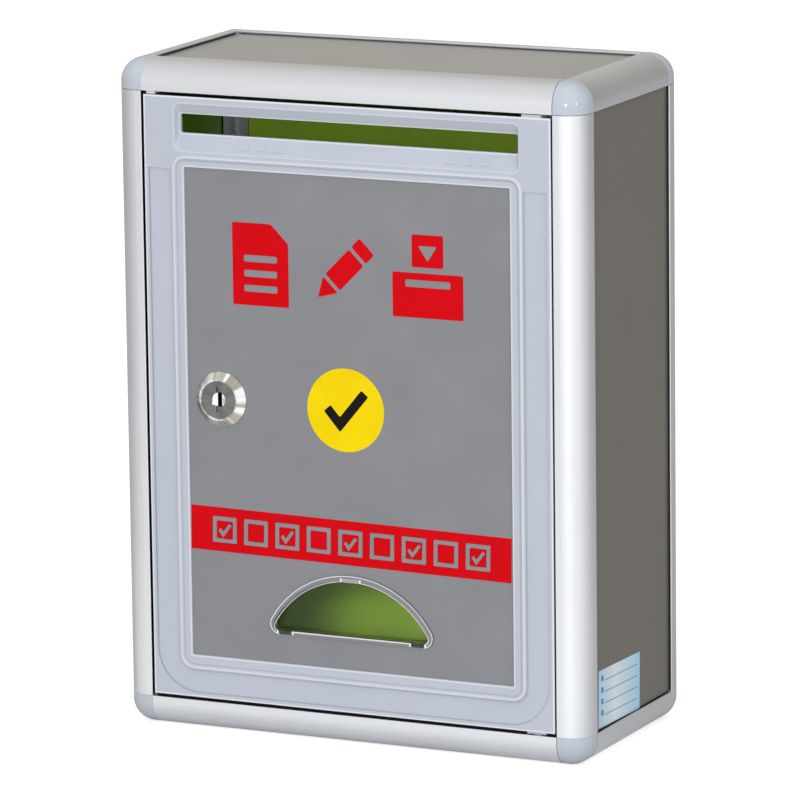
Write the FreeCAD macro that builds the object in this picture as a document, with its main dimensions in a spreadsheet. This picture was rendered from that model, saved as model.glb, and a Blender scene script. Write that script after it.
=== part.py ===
import FreeCAD, Part
import math
import os
import re
import Sketcher
from FreeCAD import Rotation, Vector

# Wall-hung ballot box: an aluminium-profile case with plastic corners, sheet panels in the
# profile slots, and a moulded front door that swings on two pins and shuts with a cam lock.
# +X is to the right of someone facing the door, +Y to the rear, +Z up. The origin is at the
# middle of the footprint. Depths in the door are counted from the front plane of the case.

sizes = {
    # Case
    "width": 239.4,
    "height": 320.0,
    "depth": 116.7,
    # Edge extrusion, the same on all twelve edges
    "leg": 14.5,
    "edge_radius": 11.3,
    "lip_round": 0.35,
    "wall": 0.8,
    "setback": 1.7,
    "slot_play": 0.2,
    "slot_floor": 9.1,
    "step_depth": 4.2,
    "core_side": 9.3,
    "port_centre": 6.6,
    "port_radius": 1.8,
    # Corner blocks
    "seam": 0.15,
    "seam_round": 0.4,
    "peg_clear": 0.1,
    "peg_length": 12.0,
    # Sheet panels of the case
    "panel_thick": 3.0,
    "panel_edge_clear": 0.4,
    "wall_hole_radius": 2.75,
    "wall_hole_span": 140.0,
    "wall_hole_rise": 200.0,
    # Door moulding
    "door_gap_side": 1.05,
    "door_gap_head": 1.7,
    "door_gap_foot": 1.4,
    "door_face": 0.5,
    "door_depth": 8.0,
    "door_edge_round": 0.4,
    "face_wall": 2.4,
    "edge_wall": 2.2,
    # Half-round bead on the door; the insets run to its crest
    "bead_side_inset": 15.25,
    "bead_foot_inset": 14.55,
    "bead_tray_gap": 2.8,
    "bead_round": 6.0,
    "bead_width": 2.4,
    "bead_rise": 0.6,
    "bead_root": 0.3,
    # Opening for the door sheet, inside a flat border that runs from the bead's crest
    "border_side": 5.4,
    "border_foot": 6.05,
    "border_head": 4.6,
    "opening_round": 0.6,
    "opening_edge_round": 0.3,
    "rib_width": 1.6,
    "rib_depth": 3.0,
    # Shallow channel round the sides and foot of the door
    "channel_ledge": 0.15,
    "channel_margin": 2.25,
    "channel_depth": 0.8,
    "channel_head_gap": 5.6,
    "channel_round": 21.0,
    # Tray and slot for the papers, with a relief behind the slot
    "tray_side_inset": 15.95,
    "tray_head_inset": 3.45,
    "tray_height": 22.45,
    "tray_depth": 3.5,
    "tray_round": 3.0,
    "tray_edge_round": 0.3,
    "slot_side_inset": 1.9,
    "slot_drop": 5.25,
    "slot_height": 9.0,
    "slot_round": 1.0,
    "slot_edge_round": 0.4,
    "slot_wall": 1.6,
    "slot_relief": 2.5,
    # Door sheet, held behind the border by moulded lugs
    "sheet_face": 1.4,
    "sheet_lap": 3.0,
    "sheet_clear": 0.3,
    "lug_lap": 1.5,
    "lug_depth": 1.4,
    "lug_length": 8.0,
    # Window insert
    "window_radius": 46.7,
    "window_foot_gap": 15.55,
    "window_rise": 28.2,
    "window_round": 3.5,
    "window_fit": 0.1,
    "flange_lap": 1.5,
    "flange_thick": 0.8,
    "window_wall": 1.3,
    "window_reach": 2.2,
    "lens_thick": 1.2,
    "clip_top_length": 8.8,
    "clip_foot_length": 6.8,
    "clip_foot_centre": 34.4,
    "clip_proud": 0.9,
    "clip_depth": 1.4,
    "notch_depth": 0.4,
    "notch_width": 1.9,
    # Door hinge
    "hinge_inset": 10.6,
    "pin_radius": 1.2,
    "pin_fit": 0.02,
    "pin_run": 0.05,
    "pin_seat": 12.0,
    "pin_end_clear": 0.6,
    "bush_radius": 2.0,
    "bush_fit": 0.02,
    "boss_half": 4.8,
    "boss_clear": 0.4,
    "boss_block": 14.0,
    # Door stop clip
    "stop_inset": 4.9,
    "stop_width": 4.4,
    "stop_clear": 0.05,
    "stop_shank": 4.2,
    "stop_face": 0.9,
    "stop_plate": 1.3,
    "stop_gap": 0.2,
    "stop_thick": 1.5,
    "stop_drop": 5.0,
    # Cam lock
    "lock_inset": 17.3,
    "lock_height": 161.2,
    "bezel_radius": 13.0,
    "bezel_proud": 3.3,
    "bezel_skirt": 0.5,
    "bezel_rim_radius": 10.0,
    "bezel_rim_width": 0.9,
    "barrel_radius": 9.0,
    "barrel_flat": 8.0,
    "barrel_length": 15.5,
    "barrel_fit": 0.15,
    "plug_head_depth": 2.4,
    "plug_recess": 0.5,
    "plug_radius": 6.0,
    "plug_run": 0.05,
    "plug_dish_radius": 3.8,
    "plug_dish_depth": 1.6,
    "key_slot_height": 7.0,
    "key_slot_width": 2.2,
    "key_slot_depth": 9.0,
    "key_guide_height": 12.2,
    "key_guide_width": 3.2,
    "key_guide_depth": 1.2,
    "tail_side": 7.0,
    "tail_fit": 0.05,
    "washer_radius": 12.4,
    "washer_thick": 0.8,
    "nut_across_flats": 24.0,
    "nut_thick": 3.6,
    "thread_fit": 0.05,
    "cam_thick": 2.0,
    "cam_width": 14.0,
    "cam_hub_radius": 9.0,
    "cam_length": 43.2,
    "cam_bend_start": 15.0,
    "cam_bend_end": 25.0,
    "cam_tip_clear": 0.6,
    "cam_gap": 0.3,
    "cam_washer_radius": 6.0,
    "cam_washer_thick": 1.0,
    "screw_radius": 2.0,
    "screw_fit": 0.05,
    "screw_head_radius": 3.8,
    "screw_head_thick": 2.4,
    "screw_length": 9.0,
    "screw_slot_width": 1.0,
    "screw_slot_depth": 1.2,
    # Cuts start and end this far outside what they cut
    "overrun": 1.0,
}

doc = FreeCAD.newDocument("BallotBox")
sheet = doc.addObject("Spreadsheet::Sheet", "dims")
for row, (alias, number) in enumerate(sizes.items(), start=1):
    sheet.set(f"A{row}", alias)
    sheet.set(f"B{row}", str(number))
    sheet.setAlias(f"B{row}", alias)
doc.recompute()

# Lengths worked out from the sheet, as expressions
front = "((bezel_proud - sheet_face - depth) / 2)"
slot_back = "(setback + panel_thick + slot_play)"
fin_back = f"({slot_back} + wall)"
door_half = "(width / 2 - leg - door_gap_side)"
door_bottom = "(leg + door_gap_foot)"
door_top = "(height - leg - door_gap_head)"
door_back = "(door_face + door_depth)"
wall_back = "(door_face + face_wall)"
tray_half = f"({door_half} - tray_side_inset)"
tray_top = f"({door_top} - tray_head_inset)"
tray_bottom = f"({tray_top} - tray_height)"
tray_floor = "(door_face + tray_depth)"
slot_half = f"({tray_half} - slot_side_inset)"
slot_top = f"({tray_top} - slot_drop)"
slot_bottom = f"({slot_top} - slot_height)"
bead_half = f"({door_half} - bead_side_inset)"
bead_bottom = f"({door_bottom} + bead_foot_inset)"
bead_top = f"({tray_bottom} - bead_tray_gap)"
hollow_top = f"({bead_top} + bead_width / 2)"
channel_top = f"({bead_top} - channel_head_gap)"
opening_half = f"({bead_half} - border_side)"
opening_bottom = f"({bead_bottom} + border_foot)"
opening_top = f"({bead_top} - border_head)"
window_sill = f"({opening_bottom} + window_foot_gap)"
window_top = f"({window_sill} + window_rise)"
lock_across = f"({opening_half} - lock_inset)"
sheet_half = f"({opening_half} + sheet_lap)"
sheet_bottom = f"({opening_bottom} - sheet_lap)"
sheet_top = f"({opening_top} + sheet_lap)"
sheet_thick = f"({wall_back} - sheet_face)"
hinge_across = "(width / 2 - leg - hinge_inset)"
hinge_depth = f"((setback + {slot_back}) / 2)"
bezel_front = "(sheet_face - bezel_proud)"
plug_front = f"({bezel_front} + plug_recess)"
barrel_end = "(sheet_face + barrel_length)"
cam_front = f"({barrel_end} + cam_gap)"
cam_back = f"({cam_front} + cam_thick)"
tip_front = f"(max({fin_back}; {door_back}) + cam_tip_clear)"

parts = []


def bound(text):
    return re.sub(r"\b(?!sqrt\b|max\b|cos\b)([a-z]\w*)", r"dims.\1", text)


def value(text):
    return float(sheet.evalExpression(bound(text)))


def bind(thing, prop, text):
    thing.setExpression(prop, bound(text))


def place(thing, at, rotation=Rotation()):
    thing.Placement = FreeCAD.Placement(Vector(*[value(text) for text in at]), rotation)
    for letter, text in zip("xyz", at):
        bind(thing, f"Placement.Base.{letter}", text)
    return thing


def sub_part(thing, label):
    thing.Label = label
    parts.append(thing)
    return thing


# Part primitives and booleans

axis_turns = {
    "x": Rotation(Vector(0, 1, 0), 90),
    "y": Rotation(Vector(1, 0, 0), -90),
    "z": Rotation(),
}


def box(name, low, high):
    solid = doc.addObject("Part::Box", name)
    for prop, start, end in zip(("Length", "Width", "Height"), low, high):
        bind(solid, prop, f"{end} - ({start})")
    return place(solid, low)


def cylinder(name, radius, length, at, axis="z"):
    solid = doc.addObject("Part::Cylinder", name)
    bind(solid, "Radius", radius)
    bind(solid, "Height", length)
    return place(solid, at, axis_turns[axis])


def fuse(name, pieces):
    joined = doc.addObject("Part::MultiFuse", name)
    joined.Shapes = pieces
    joined.Refine = True
    return joined


def cut(name, base, tools):
    result = doc.addObject("Part::Cut", name)
    result.Base = base
    result.Tool = tools[0] if len(tools) == 1 else fuse(name + "_tools", tools)
    return result


# PartDesign bodies and sketches

def new_body(label, at=("0", "0", "0"), rotation=Rotation()):
    body = doc.addObject("PartDesign::Body", label)
    return place(body, at, rotation)


def new_sketch(body, name, role="XY_Plane", offset="0"):
    sketch = body.newObject("Sketcher::SketchObject", f"{body.Name}_{name}")
    plane = [item for item in body.Origin.OriginFeatures if item.Role == role][0]
    sketch.AttachmentSupport = [(plane, "")]
    sketch.MapMode = "FlatFace"
    bind(sketch, "AttachmentOffset.Base.z", offset)
    return sketch


def fix_point(sketch, geometry, end, across, up):
    for kind, text in (("DistanceX", across), ("DistanceY", up)):
        rule = Sketcher.Constraint(kind, -1, 1, geometry, end, value(text))
        number = sketch.addConstraint(rule)
        sketch.setExpression(f"Constraints[{number}]", bound(text))


def fix_radius(sketch, geometry, text):
    number = sketch.addConstraint(Sketcher.Constraint("Radius", geometry, value(text)))
    sketch.setExpression(f"Constraints[{number}]", bound(text))


def arc_between(start, end, radius, turn):
    # turn is 1 for an arc that bends left on the way to its end, -1 for one that bends right
    chord = end - start
    aside = Vector(-chord.y, chord.x, 0).normalize() * turn
    centre = (start + end) * 0.5 + aside * math.sqrt(max(radius ** 2 - (chord.Length / 2) ** 2, 0))
    first, last = (start, end) if turn > 0 else (end, start)
    angles = [math.atan2(point.y - centre.y, point.x - centre.x) for point in (first, last)]
    return Part.ArcOfCircle(Part.Circle(centre, Vector(0, 0, 1), radius), *angles)


def draw_outline(sketch, points):
    # A point is (across, up), or (across, up, radius, turn) where an arc arrives at it
    corners = [Vector(value(point[0]), value(point[1]), 0) for point in points]
    spans = []
    for index, point in enumerate(points):
        start, end = corners[index - 1], corners[index]
        if len(point) == 2:
            number = sketch.addGeometry(Part.LineSegment(start, end))
            spans.append((number, 1, 2))
        else:
            turn = point[3]
            number = sketch.addGeometry(arc_between(start, end, value(point[2]), turn))
            spans.append((number, 1, 2) if turn > 0 else (number, 2, 1))
    joints = []
    for index, (number, _, end) in enumerate(spans):
        following, start, _ = spans[(index + 1) % len(spans)]
        joints.append(Sketcher.Constraint("Coincident", number, end, following, start))
    sketch.addConstraint(joints)
    for point, (number, _, end) in zip(points, spans):
        fix_point(sketch, number, end, point[0], point[1])
        if len(point) > 2:
            fix_radius(sketch, number, point[2])


def draw_circle(sketch, across, up, radius):
    centre = Vector(value(across), value(up), 0)
    number = sketch.addGeometry(Part.Circle(centre, Vector(0, 0, 1), value(radius)))
    fix_point(sketch, number, 3, across, up)
    fix_radius(sketch, number, radius)


def rectangle(left, right, low, high):
    return [(left, low), (right, low), (right, high), (left, high)]


def round_rectangle(left, right, low, high, radius):
    return [
        (f"{left} + {radius}", low, radius, 1),
        (f"{right} - {radius}", low),
        (right, f"{low} + {radius}", radius, 1),
        (right, f"{high} - {radius}"),
        (f"{right} - {radius}", high, radius, 1),
        (f"{left} + {radius}", high),
        (left, f"{high} - {radius}", radius, 1),
        (left, f"{low} + {radius}"),
    ]


def pad(body, sketch, length, reverse=False):
    feature = body.newObject("PartDesign::Pad", sketch.Name + "_pad")
    feature.Profile = sketch
    bind(feature, "Length", length)
    feature.Reversed = reverse
    return feature


def pocket(body, sketch, length, reverse=False):
    feature = body.newObject("PartDesign::Pocket", sketch.Name + "_pocket")
    feature.Profile = sketch
    bind(feature, "Length", length)
    feature.Reversed = reverse
    return feature


def soften(body, name, radius, chosen):
    # A fillet on the edges of the body's last feature that chosen picks out
    doc.recompute()
    last = body.Tip
    edges = [f"Edge{n}" for n, edge in enumerate(last.Shape.Edges, start=1) if chosen(edge)]
    feature = body.newObject("PartDesign::Fillet", f"{body.Name}_{name}")
    feature.Base = (last, edges)
    bind(feature, "Radius", radius)
    return feature


def front_sketch(body, name, depth, outlines):
    # A sketch across the door, at a depth behind the front plane
    sketch = new_sketch(body, name, "XZ_Plane", f"-({depth})")
    for points in outlines:
        draw_outline(sketch, points)
    return sketch


def front_pad(body, name, depth, length, *outlines):
    return pad(body, front_sketch(body, name, depth, outlines), length, reverse=True)


def front_pocket(body, name, depth, length, *outlines):
    return pocket(body, front_sketch(body, name, depth, outlines), length)


# Edge extrusions

profile_half = [
    ("leg", "wall"),
    ("leg - step_depth", "wall"),
    ("leg - step_depth", "setback"),
    ("slot_floor", "setback"),
    ("slot_floor", slot_back),
    ("leg", slot_back),
    ("leg", fin_back),
    ("core_side", fin_back),
]
profile_outline = (
    [("edge_radius", "0", "edge_radius", 1)]
    + [("leg - lip_round", "0"), ("leg", "lip_round", "lip_round", 1)]
    + profile_half
    + [("core_side", "core_side")]
    + [(up, across) for across, up in reversed(profile_half)]
    + [("lip_round", "leg"), ("0", "leg - lip_round", "lip_round", 1)]
    + [("0", "edge_radius")]
)


def extrusion(label, side, at, rotation):
    body = new_body(label, at, rotation)
    sketch = new_sketch(body, "section")
    draw_outline(sketch, profile_outline)
    draw_circle(sketch, "port_centre", "port_centre", "port_radius")
    pad(body, sketch, f"{side} - 2 * (leg + seam)")
    return body


rail_start = "leg + seam"
left, right = "-width / 2", "width / 2"
rear = f"{front} + depth"
along_x = Rotation(Vector(1, 1, 1), 120)
along_y = Rotation(Vector(1, 1, 1), 240)
bush_hole_radius = "bush_radius + bush_fit"


def quarter_turns(axis):
    return [Rotation(axis, 90 * count) for count in range(4)]


upright_turns = quarter_turns(Vector(0, 0, 1))
for (label, across, along), turn in zip((
    ("post_front_left", left, front),
    ("post_front_right", right, front),
    ("post_rear_right", right, rear),
    ("post_rear_left", left, rear),
), upright_turns):
    sub_part(extrusion(label, "height", (across, along, rail_start), turn), label)

# The front rails are bored in their empty slot for the hinge bushes
for (label, along, level, bore_foot), turn in zip((
    ("rail_bottom_front", front, "0", "slot_floor"),
    ("rail_bottom_rear", rear, "0", None),
    ("rail_top_rear", rear, "height", None),
    ("rail_top_front", front, "height", "height - leg - overrun"),
), quarter_turns(Vector(1, 0, 0))):
    name = label + "_bar" if bore_foot else label
    rail = extrusion(name, "width", (f"{left} + {rail_start}", along, level), turn * along_x)
    if bore_foot:
        bore_at = (hinge_across, f"{front} + {hinge_depth}", bore_foot)
        bore = cylinder(label + "_bore", bush_hole_radius, "leg - slot_floor + overrun", bore_at)
        rail = cut(label, rail, [bore])
    sub_part(rail, label)

for (label, across, level), turn in zip((
    ("rail_bottom_left", left, "0"),
    ("rail_top_left", left, "height"),
    ("rail_top_right", right, "height"),
    ("rail_bottom_right", right, "0"),
), quarter_turns(Vector(0, 1, 0))):
    sub_part(extrusion(label, "depth", (across, f"{front} + {rail_start}", level), turn * along_y), label)


# Corner blocks: rounded cubes with a peg for each extrusion and slots for the panel corners

def touches_origin(edge):
    return any(vertex.Point.Length < edge.Length / 2 for vertex in edge.Vertexes)


def on_seam(edge):
    # An outer edge of a face that meets an extrusion: just one of its coordinates is all at the leg
    far = [
        all(math.isclose(vertex.Point[axis], value("leg")) for vertex in edge.Vertexes)
        for axis in range(3)
    ]
    return far.count(True) == 1


def corner_block(label, at, rotation):
    body = new_body(label + "_cube")
    sketch = new_sketch(body, "face")
    draw_outline(sketch, rectangle("0", "leg", "0", "leg"))
    pad(body, sketch, "leg")
    soften(body, "round", "edge_radius", touches_origin)
    soften(body, "seams", "seam_round", on_seam)
    far = "leg + overrun"
    hollow = box(label + "_hollow", ["core_side"] * 3, [far] * 3)
    slots = []
    pegs = []
    for number, axis in enumerate("xyz"):
        low = ["slot_floor"] * 3
        high = [far] * 3
        low[number] = "setback"
        high[number] = slot_back
        slots.append(box(f"{label}_slot_{axis}", low, high))
        root = ["port_centre"] * 3
        reach = "leg - port_centre + peg_length"
        pegs.append(cylinder(f"{label}_peg_{axis}", "port_radius - peg_clear", reach, root, axis))
    block = cut(label + "_block", body, [hollow] + slots)
    return sub_part(place(fuse(label, [block] + pegs), at, rotation), label)


upside_down = Rotation(Vector(1, 0, 0), 180)
next_turns = upright_turns[1:] + upright_turns[:1]
for (label, across, along), foot_turn, head_turn in zip((
    ("front_left", left, front),
    ("front_right", right, front),
    ("rear_right", right, rear),
    ("rear_left", left, rear),
), upright_turns, next_turns):
    corner_block("corner_bottom_" + label, (across, along, "0"), foot_turn)
    corner_block("corner_top_" + label, (across, along, "height"), head_turn * upside_down)


# Sheet panels, slid into the slots of the extrusions

edge_in = "(slot_floor + panel_edge_clear)"
panel_left, panel_right = f"{left} + {edge_in}", f"{right} - {edge_in}"
panel_near, panel_far = f"{front} + {edge_in}", f"{rear} - {edge_in}"
panel_low, panel_high = edge_in, f"height - {edge_in}"
skin_in = "(setback + panel_thick)"

for label, low, high in (
    ("bottom_panel", (panel_left, panel_near, "setback"), (panel_right, panel_far, skin_in)),
    (
        "top_panel",
        (panel_left, panel_near, f"height - {skin_in}"),
        (panel_right, panel_far, "height - setback"),
    ),
    (
        "left_panel",
        (f"{left} + setback", panel_near, panel_low),
        (f"{left} + {skin_in}", panel_far, panel_high),
    ),
    (
        "right_panel",
        (f"{right} - {skin_in}", panel_near, panel_low),
        (f"{right} - setback", panel_far, panel_high),
    ),
):
    sub_part(box(label, low, high), label)

back_sheet = box(
    "back_sheet",
    (panel_left, f"{rear} - {skin_in}", panel_low),
    (panel_right, f"{rear} - setback", panel_high),
)
wall_holes = []
for across_sign in ("-", "+"):
    for up_sign in ("-", "+"):
        hole_at = (
            f"0 {across_sign} wall_hole_span / 2",
            f"{rear} - {skin_in} - overrun",
            f"height / 2 {up_sign} wall_hole_rise / 2",
        )
        name = f"wall_hole_{len(wall_holes)}"
        wall_holes.append(cylinder(name, "wall_hole_radius", "panel_thick + 2 * overrun", hole_at, "y"))
sub_part(cut("back_panel", back_sheet, wall_holes), "back_panel")


# Hinge bushes, pressed into the front rails

bush_length = "(leg - slot_floor)"
hinge_line = f"{front} + {hinge_depth}"
for label, foot in (("hinge_bush_upper", "height - leg"), ("hinge_bush_lower", "slot_floor")):
    sleeve = cylinder(label + "_sleeve", "bush_radius", bush_length, (hinge_across, hinge_line, foot))
    bore_at = (hinge_across, hinge_line, f"{foot} - overrun")
    bore = cylinder(label + "_bore", "pin_radius + pin_run", f"{bush_length} + 2 * overrun", bore_at)
    sub_part(cut(label, sleeve, [bore]), label)


# Door stop clip, in the slot of the top front rail

stop_left = "(-width / 2 + leg + stop_inset - stop_width / 2)"
stop_right = f"({stop_left} + stop_width)"
lip_end = "(height - leg)"
stop_near = f"{front} + setback + stop_clear"
stop_foot_near = f"{front} + {door_back} + stop_gap"
stop_far = f"{stop_foot_near} + stop_thick"
plate_top = f"{lip_end} - stop_clear"
shank = box(
    "stop_shank_block",
    (stop_left, stop_near, f"{plate_top} - stop_plate"),
    (stop_right, f"{front} + {slot_back} - stop_clear", f"{lip_end} + stop_shank"),
)
plate = box(
    "stop_plate_block",
    (stop_left, f"{front} + stop_face", f"{plate_top} - stop_plate"),
    (stop_right, stop_far, plate_top),
)
foot = box(
    "stop_foot_block",
    (stop_left, stop_foot_near, f"{plate_top} - stop_drop"),
    (stop_right, stop_far, plate_top),
)
sub_part(fuse("door_stop_clip", [shank, plate, foot]), "door_stop_clip")


# Door moulding

def on_door_face(edge):
    return all(math.isclose(vertex.Y, value("door_face")) for vertex in edge.Vertexes)


def on_opening_edge(edge):
    return on_door_face(edge) and all(
        abs(vertex.X) < value(bead_half) and value(bead_bottom) < vertex.Z < value(bead_top)
        for vertex in edge.Vertexes
    )


def on_tray_rim(edge):
    below = value(f"({bead_top} + {tray_bottom}) / 2")
    above = value(f"({tray_top} + {door_top}) / 2")
    return on_door_face(edge) and all(below < vertex.Z < above for vertex in edge.Vertexes)


def on_slot_edge(edge):
    return all(math.isclose(vertex.Y, value(tray_floor)) for vertex in edge.Vertexes)


door = new_body("door_frame", ("0", front, "0"))
front_pad(
    door, "slab", "door_face", "door_depth",
    rectangle(f"-{door_half}", door_half, door_bottom, door_top),
)
soften(door, "face_edges", "door_edge_round", on_door_face)

inner_half = f"({door_half} - edge_wall)"
front_pocket(
    door, "hollow", wall_back, "door_depth - face_wall + overrun",
    rectangle(f"-{inner_half}", inner_half, f"{door_bottom} + edge_wall", hollow_top),
)
front_pocket(
    door, "opening", "door_face - overrun", "face_wall + 2 * overrun",
    round_rectangle(f"-{opening_half}", opening_half, opening_bottom, opening_top, "opening_round"),
)
soften(door, "opening_edges", "opening_edge_round", on_opening_edge)
seat_half = f"({sheet_half} + sheet_clear)"
front_pocket(
    door, "seat", "sheet_face", f"{sheet_thick} + overrun",
    rectangle(
        f"-{seat_half}", seat_half,
        f"{sheet_bottom} - sheet_clear", f"{sheet_top} + sheet_clear",
    ),
)

outer = f"({door_half} - channel_margin)"
outer_foot = f"({door_bottom} + channel_margin)"
inner = f"({bead_half} + bead_width / 2 + channel_ledge)"
inner_foot = f"({bead_bottom} - bead_width / 2 - channel_ledge)"
inner_round = "(bead_round + bead_width / 2 + channel_ledge)"
front_pocket(
    door, "channel", "door_face", "channel_depth",
    [
        (f"-{outer}", channel_top),
        (f"-{outer}", f"{outer_foot} + channel_round"),
        (f"-{outer} + channel_round", outer_foot, "channel_round", 1),
        (f"{outer} - channel_round", outer_foot),
        (outer, f"{outer_foot} + channel_round", "channel_round", 1),
        (outer, channel_top),
        (inner, channel_top),
        (inner, f"{inner_foot} + {inner_round}"),
        (f"{inner} - {inner_round}", inner_foot, inner_round, -1),
        (f"-{inner} + {inner_round}", inner_foot),
        (f"-{inner}", f"{inner_foot} + {inner_round}", inner_round, -1),
        (f"-{inner}", channel_top),
    ],
)

# The bead is a circle segment carried round its crest line, with a root in the face
bead_line = front_sketch(
    door, "bead_line", "door_face",
    [round_rectangle(f"-{bead_half}", bead_half, bead_bottom, bead_top, "bead_round")],
)
bead_section = new_sketch(door, "bead_section", "XY_Plane", f"{bead_bottom} + bead_round")
bead_left, bead_right = f"-{bead_half} - bead_width / 2", f"-{bead_half} + bead_width / 2"
bead_radius = "(bead_width * bead_width / (8 * bead_rise) + bead_rise / 2)"
draw_outline(bead_section, [
    (bead_left, "door_face + bead_root"),
    (bead_right, "door_face + bead_root"),
    (bead_right, "door_face"),
    (bead_left, "door_face", bead_radius, -1),
])
bead = door.newObject("PartDesign::AdditivePipe", "door_bead")
bead.Profile = bead_section
bead.Spine = (bead_line, [f"Edge{number + 1}" for number in range(bead_line.GeometryCount)])

tray = door.newObject("PartDesign::SubtractiveLoft", "door_tray")
tray.Profile = front_sketch(
    door, "tray_rim", "door_face",
    [round_rectangle(f"-{tray_half}", tray_half, tray_bottom, tray_top, "tray_round")],
)
slot_outline = round_rectangle(f"-{slot_half}", slot_half, slot_bottom, slot_top, "slot_round")
tray.Sections = [front_sketch(door, "tray_foot", tray_floor, [slot_outline])]
tray.Ruled = True
soften(door, "tray_edges", "tray_edge_round", on_tray_rim)
front_pocket(door, "slot", "door_face", "door_depth + overrun", slot_outline)
soften(door, "slot_edges", "slot_edge_round", on_slot_edge)
relief_half = f"({slot_half} + slot_relief)"
front_pocket(
    door, "relief", f"{tray_floor} + slot_wall", "door_depth - tray_depth - slot_wall + overrun",
    rectangle(f"-{relief_half}", relief_half, hollow_top, f"{door_top} - edge_wall"),
)

boss_left, boss_right = f"{hinge_across} - boss_half", f"{hinge_across} + boss_half"
boss_top, boss_bottom = "(height - leg - boss_clear)", "(leg + boss_clear)"
front_pad(
    door, "boss_upper", "door_face", "door_depth",
    rectangle(boss_left, boss_right, f"{door_top} - edge_wall", boss_top),
)
front_pad(
    door, "boss_lower", "door_face + channel_depth", "door_depth - channel_depth",
    rectangle(boss_left, boss_right, boss_bottom, f"{door_bottom} + edge_wall"),
)
front_pad(
    door, "boss_block", f"{wall_back} - channel_depth", "door_depth - face_wall + channel_depth",
    rectangle(boss_left, boss_right, door_bottom, f"{door_bottom} + boss_block"),
)
pin_hole = "pin_radius + pin_fit"
for name, level, rise, upward in (
    ("pin_hole_upper", boss_top, f"{boss_top} - {door_top}", False),
    ("pin_hole_lower", boss_bottom, f"{door_bottom} - {boss_bottom}", True),
):
    sketch = new_sketch(door, name, "XY_Plane", level)
    draw_circle(sketch, hinge_across, hinge_depth, pin_hole)
    pocket(door, sketch, f"{rise} + pin_seat", reverse=upward)

rib_half = f"({seat_half} + edge_wall)"
rib_foot = f"({sheet_bottom} - sheet_clear - edge_wall)"
front_pad(
    door, "ribs", wall_back, "rib_depth",
    rectangle(f"-{rib_half} - rib_width", f"-{rib_half}", rib_foot, hollow_top),
    rectangle(rib_half, f"{rib_half} + rib_width", rib_foot, hollow_top),
    rectangle(
        f"-{rib_half} - rib_width", f"{rib_half} + rib_width",
        f"{rib_foot} - rib_width", rib_foot,
    ),
)

lug_shares = (0.12, 0.45, 0.88)
lug_rise = f"({sheet_top} - {sheet_bottom})"
lug_outlines = []
for share in lug_shares:
    middle = f"({sheet_bottom} + {share} * {lug_rise})"
    low, high = f"{middle} - lug_length / 2", f"{middle} + lug_length / 2"
    lug_in = f"({sheet_half} - lug_lap)"
    lug_out = f"({rib_half} + rib_width / 2)"
    lug_outlines.append(rectangle(f"-{lug_out}", f"-{lug_in}", low, high))
    lug_outlines.append(rectangle(lug_in, lug_out, low, high))
front_pad(door, "lugs", wall_back, "lug_depth", *lug_outlines)
sub_part(door, "door_frame")


# Door sheet

window_centre = f"({window_top} - window_radius)"


def window_outline(grow):
    # A circle cut off at the sill, with rounded ends; every offset keeps the same end centres
    radius = f"(window_radius + {grow})"
    sill = f"({window_sill} - {grow})"
    rounding = f"(window_round + {grow})"
    reach = "(window_radius - window_round)"
    end_up = f"({window_sill} + window_round)"
    end_rise = f"({end_up} - {window_centre})"
    end_across = f"sqrt({reach} * {reach} - {end_rise} * {end_rise})"
    far_across = f"{end_across} * {radius} / {reach}"
    far_up = f"{window_centre} + {end_rise} * {radius} / {reach}"
    return [
        (f"-({end_across})", sill, rounding, 1),
        (end_across, sill),
        (far_across, far_up, rounding, 1),
        ("0", f"{window_top} + {grow}", radius, 1),
        (f"-({far_across})", far_up, radius, 1),
    ]


panel = new_body("door_panel", ("0", front, "0"))
front_pad(
    panel, "sheet", "sheet_face", sheet_thick,
    rectangle(f"-{sheet_half}", sheet_half, sheet_bottom, sheet_top),
)
front_pocket(panel, "window_hole", "sheet_face", sheet_thick, window_outline("0"))
lock_hole = "(barrel_radius + barrel_fit)"
flat_half = "(barrel_flat + barrel_fit)"
flat_up = f"sqrt({lock_hole} * {lock_hole} - {flat_half} * {flat_half})"
front_pocket(
    panel, "lock_hole", "sheet_face", sheet_thick,
    [
        (f"-{lock_across} + {flat_half}", f"lock_height - {flat_up}", lock_hole, 1),
        (f"-{lock_across} + {flat_half}", f"lock_height + {flat_up}"),
        (f"-{lock_across} - {flat_half}", f"lock_height + {flat_up}", lock_hole, 1),
        (f"-{lock_across} - {flat_half}", f"lock_height - {flat_up}"),
    ],
)
sub_part(panel, "door_panel")


# Window insert: a clear tray with a flange on the sheet and snap clips behind it

window = new_body("window_pane", ("0", front, "0"))
front_pad(window, "flange", "sheet_face - flange_thick", "flange_thick", window_outline("flange_lap"))
front_pad(
    window, "tray", "sheet_face", f"{sheet_thick} + window_reach",
    window_outline("(-window_fit)"),
)
front_pocket(
    window, "recess", "sheet_face - flange_thick",
    f"flange_thick + {sheet_thick} + window_reach - lens_thick",
    window_outline("(-window_fit - window_wall)"),
)
sill_out = f"{window_sill} - clip_proud"
foot_left = "clip_foot_centre - clip_foot_length / 2"
foot_right = "clip_foot_centre + clip_foot_length / 2"
clip_inner = "(window_fit + window_wall)"
clip_crown = f"({window_top} + clip_proud)"
front_pad(
    window, "clips", wall_back, "clip_depth",
    rectangle("-clip_top_length / 2", "clip_top_length / 2", f"{window_top} - {clip_inner}", clip_crown),
    rectangle(foot_left, foot_right, sill_out, f"{window_sill} + {clip_inner}"),
    rectangle(f"-({foot_right})", f"-({foot_left})", sill_out, f"{window_sill} + {clip_inner}"),
)
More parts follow.
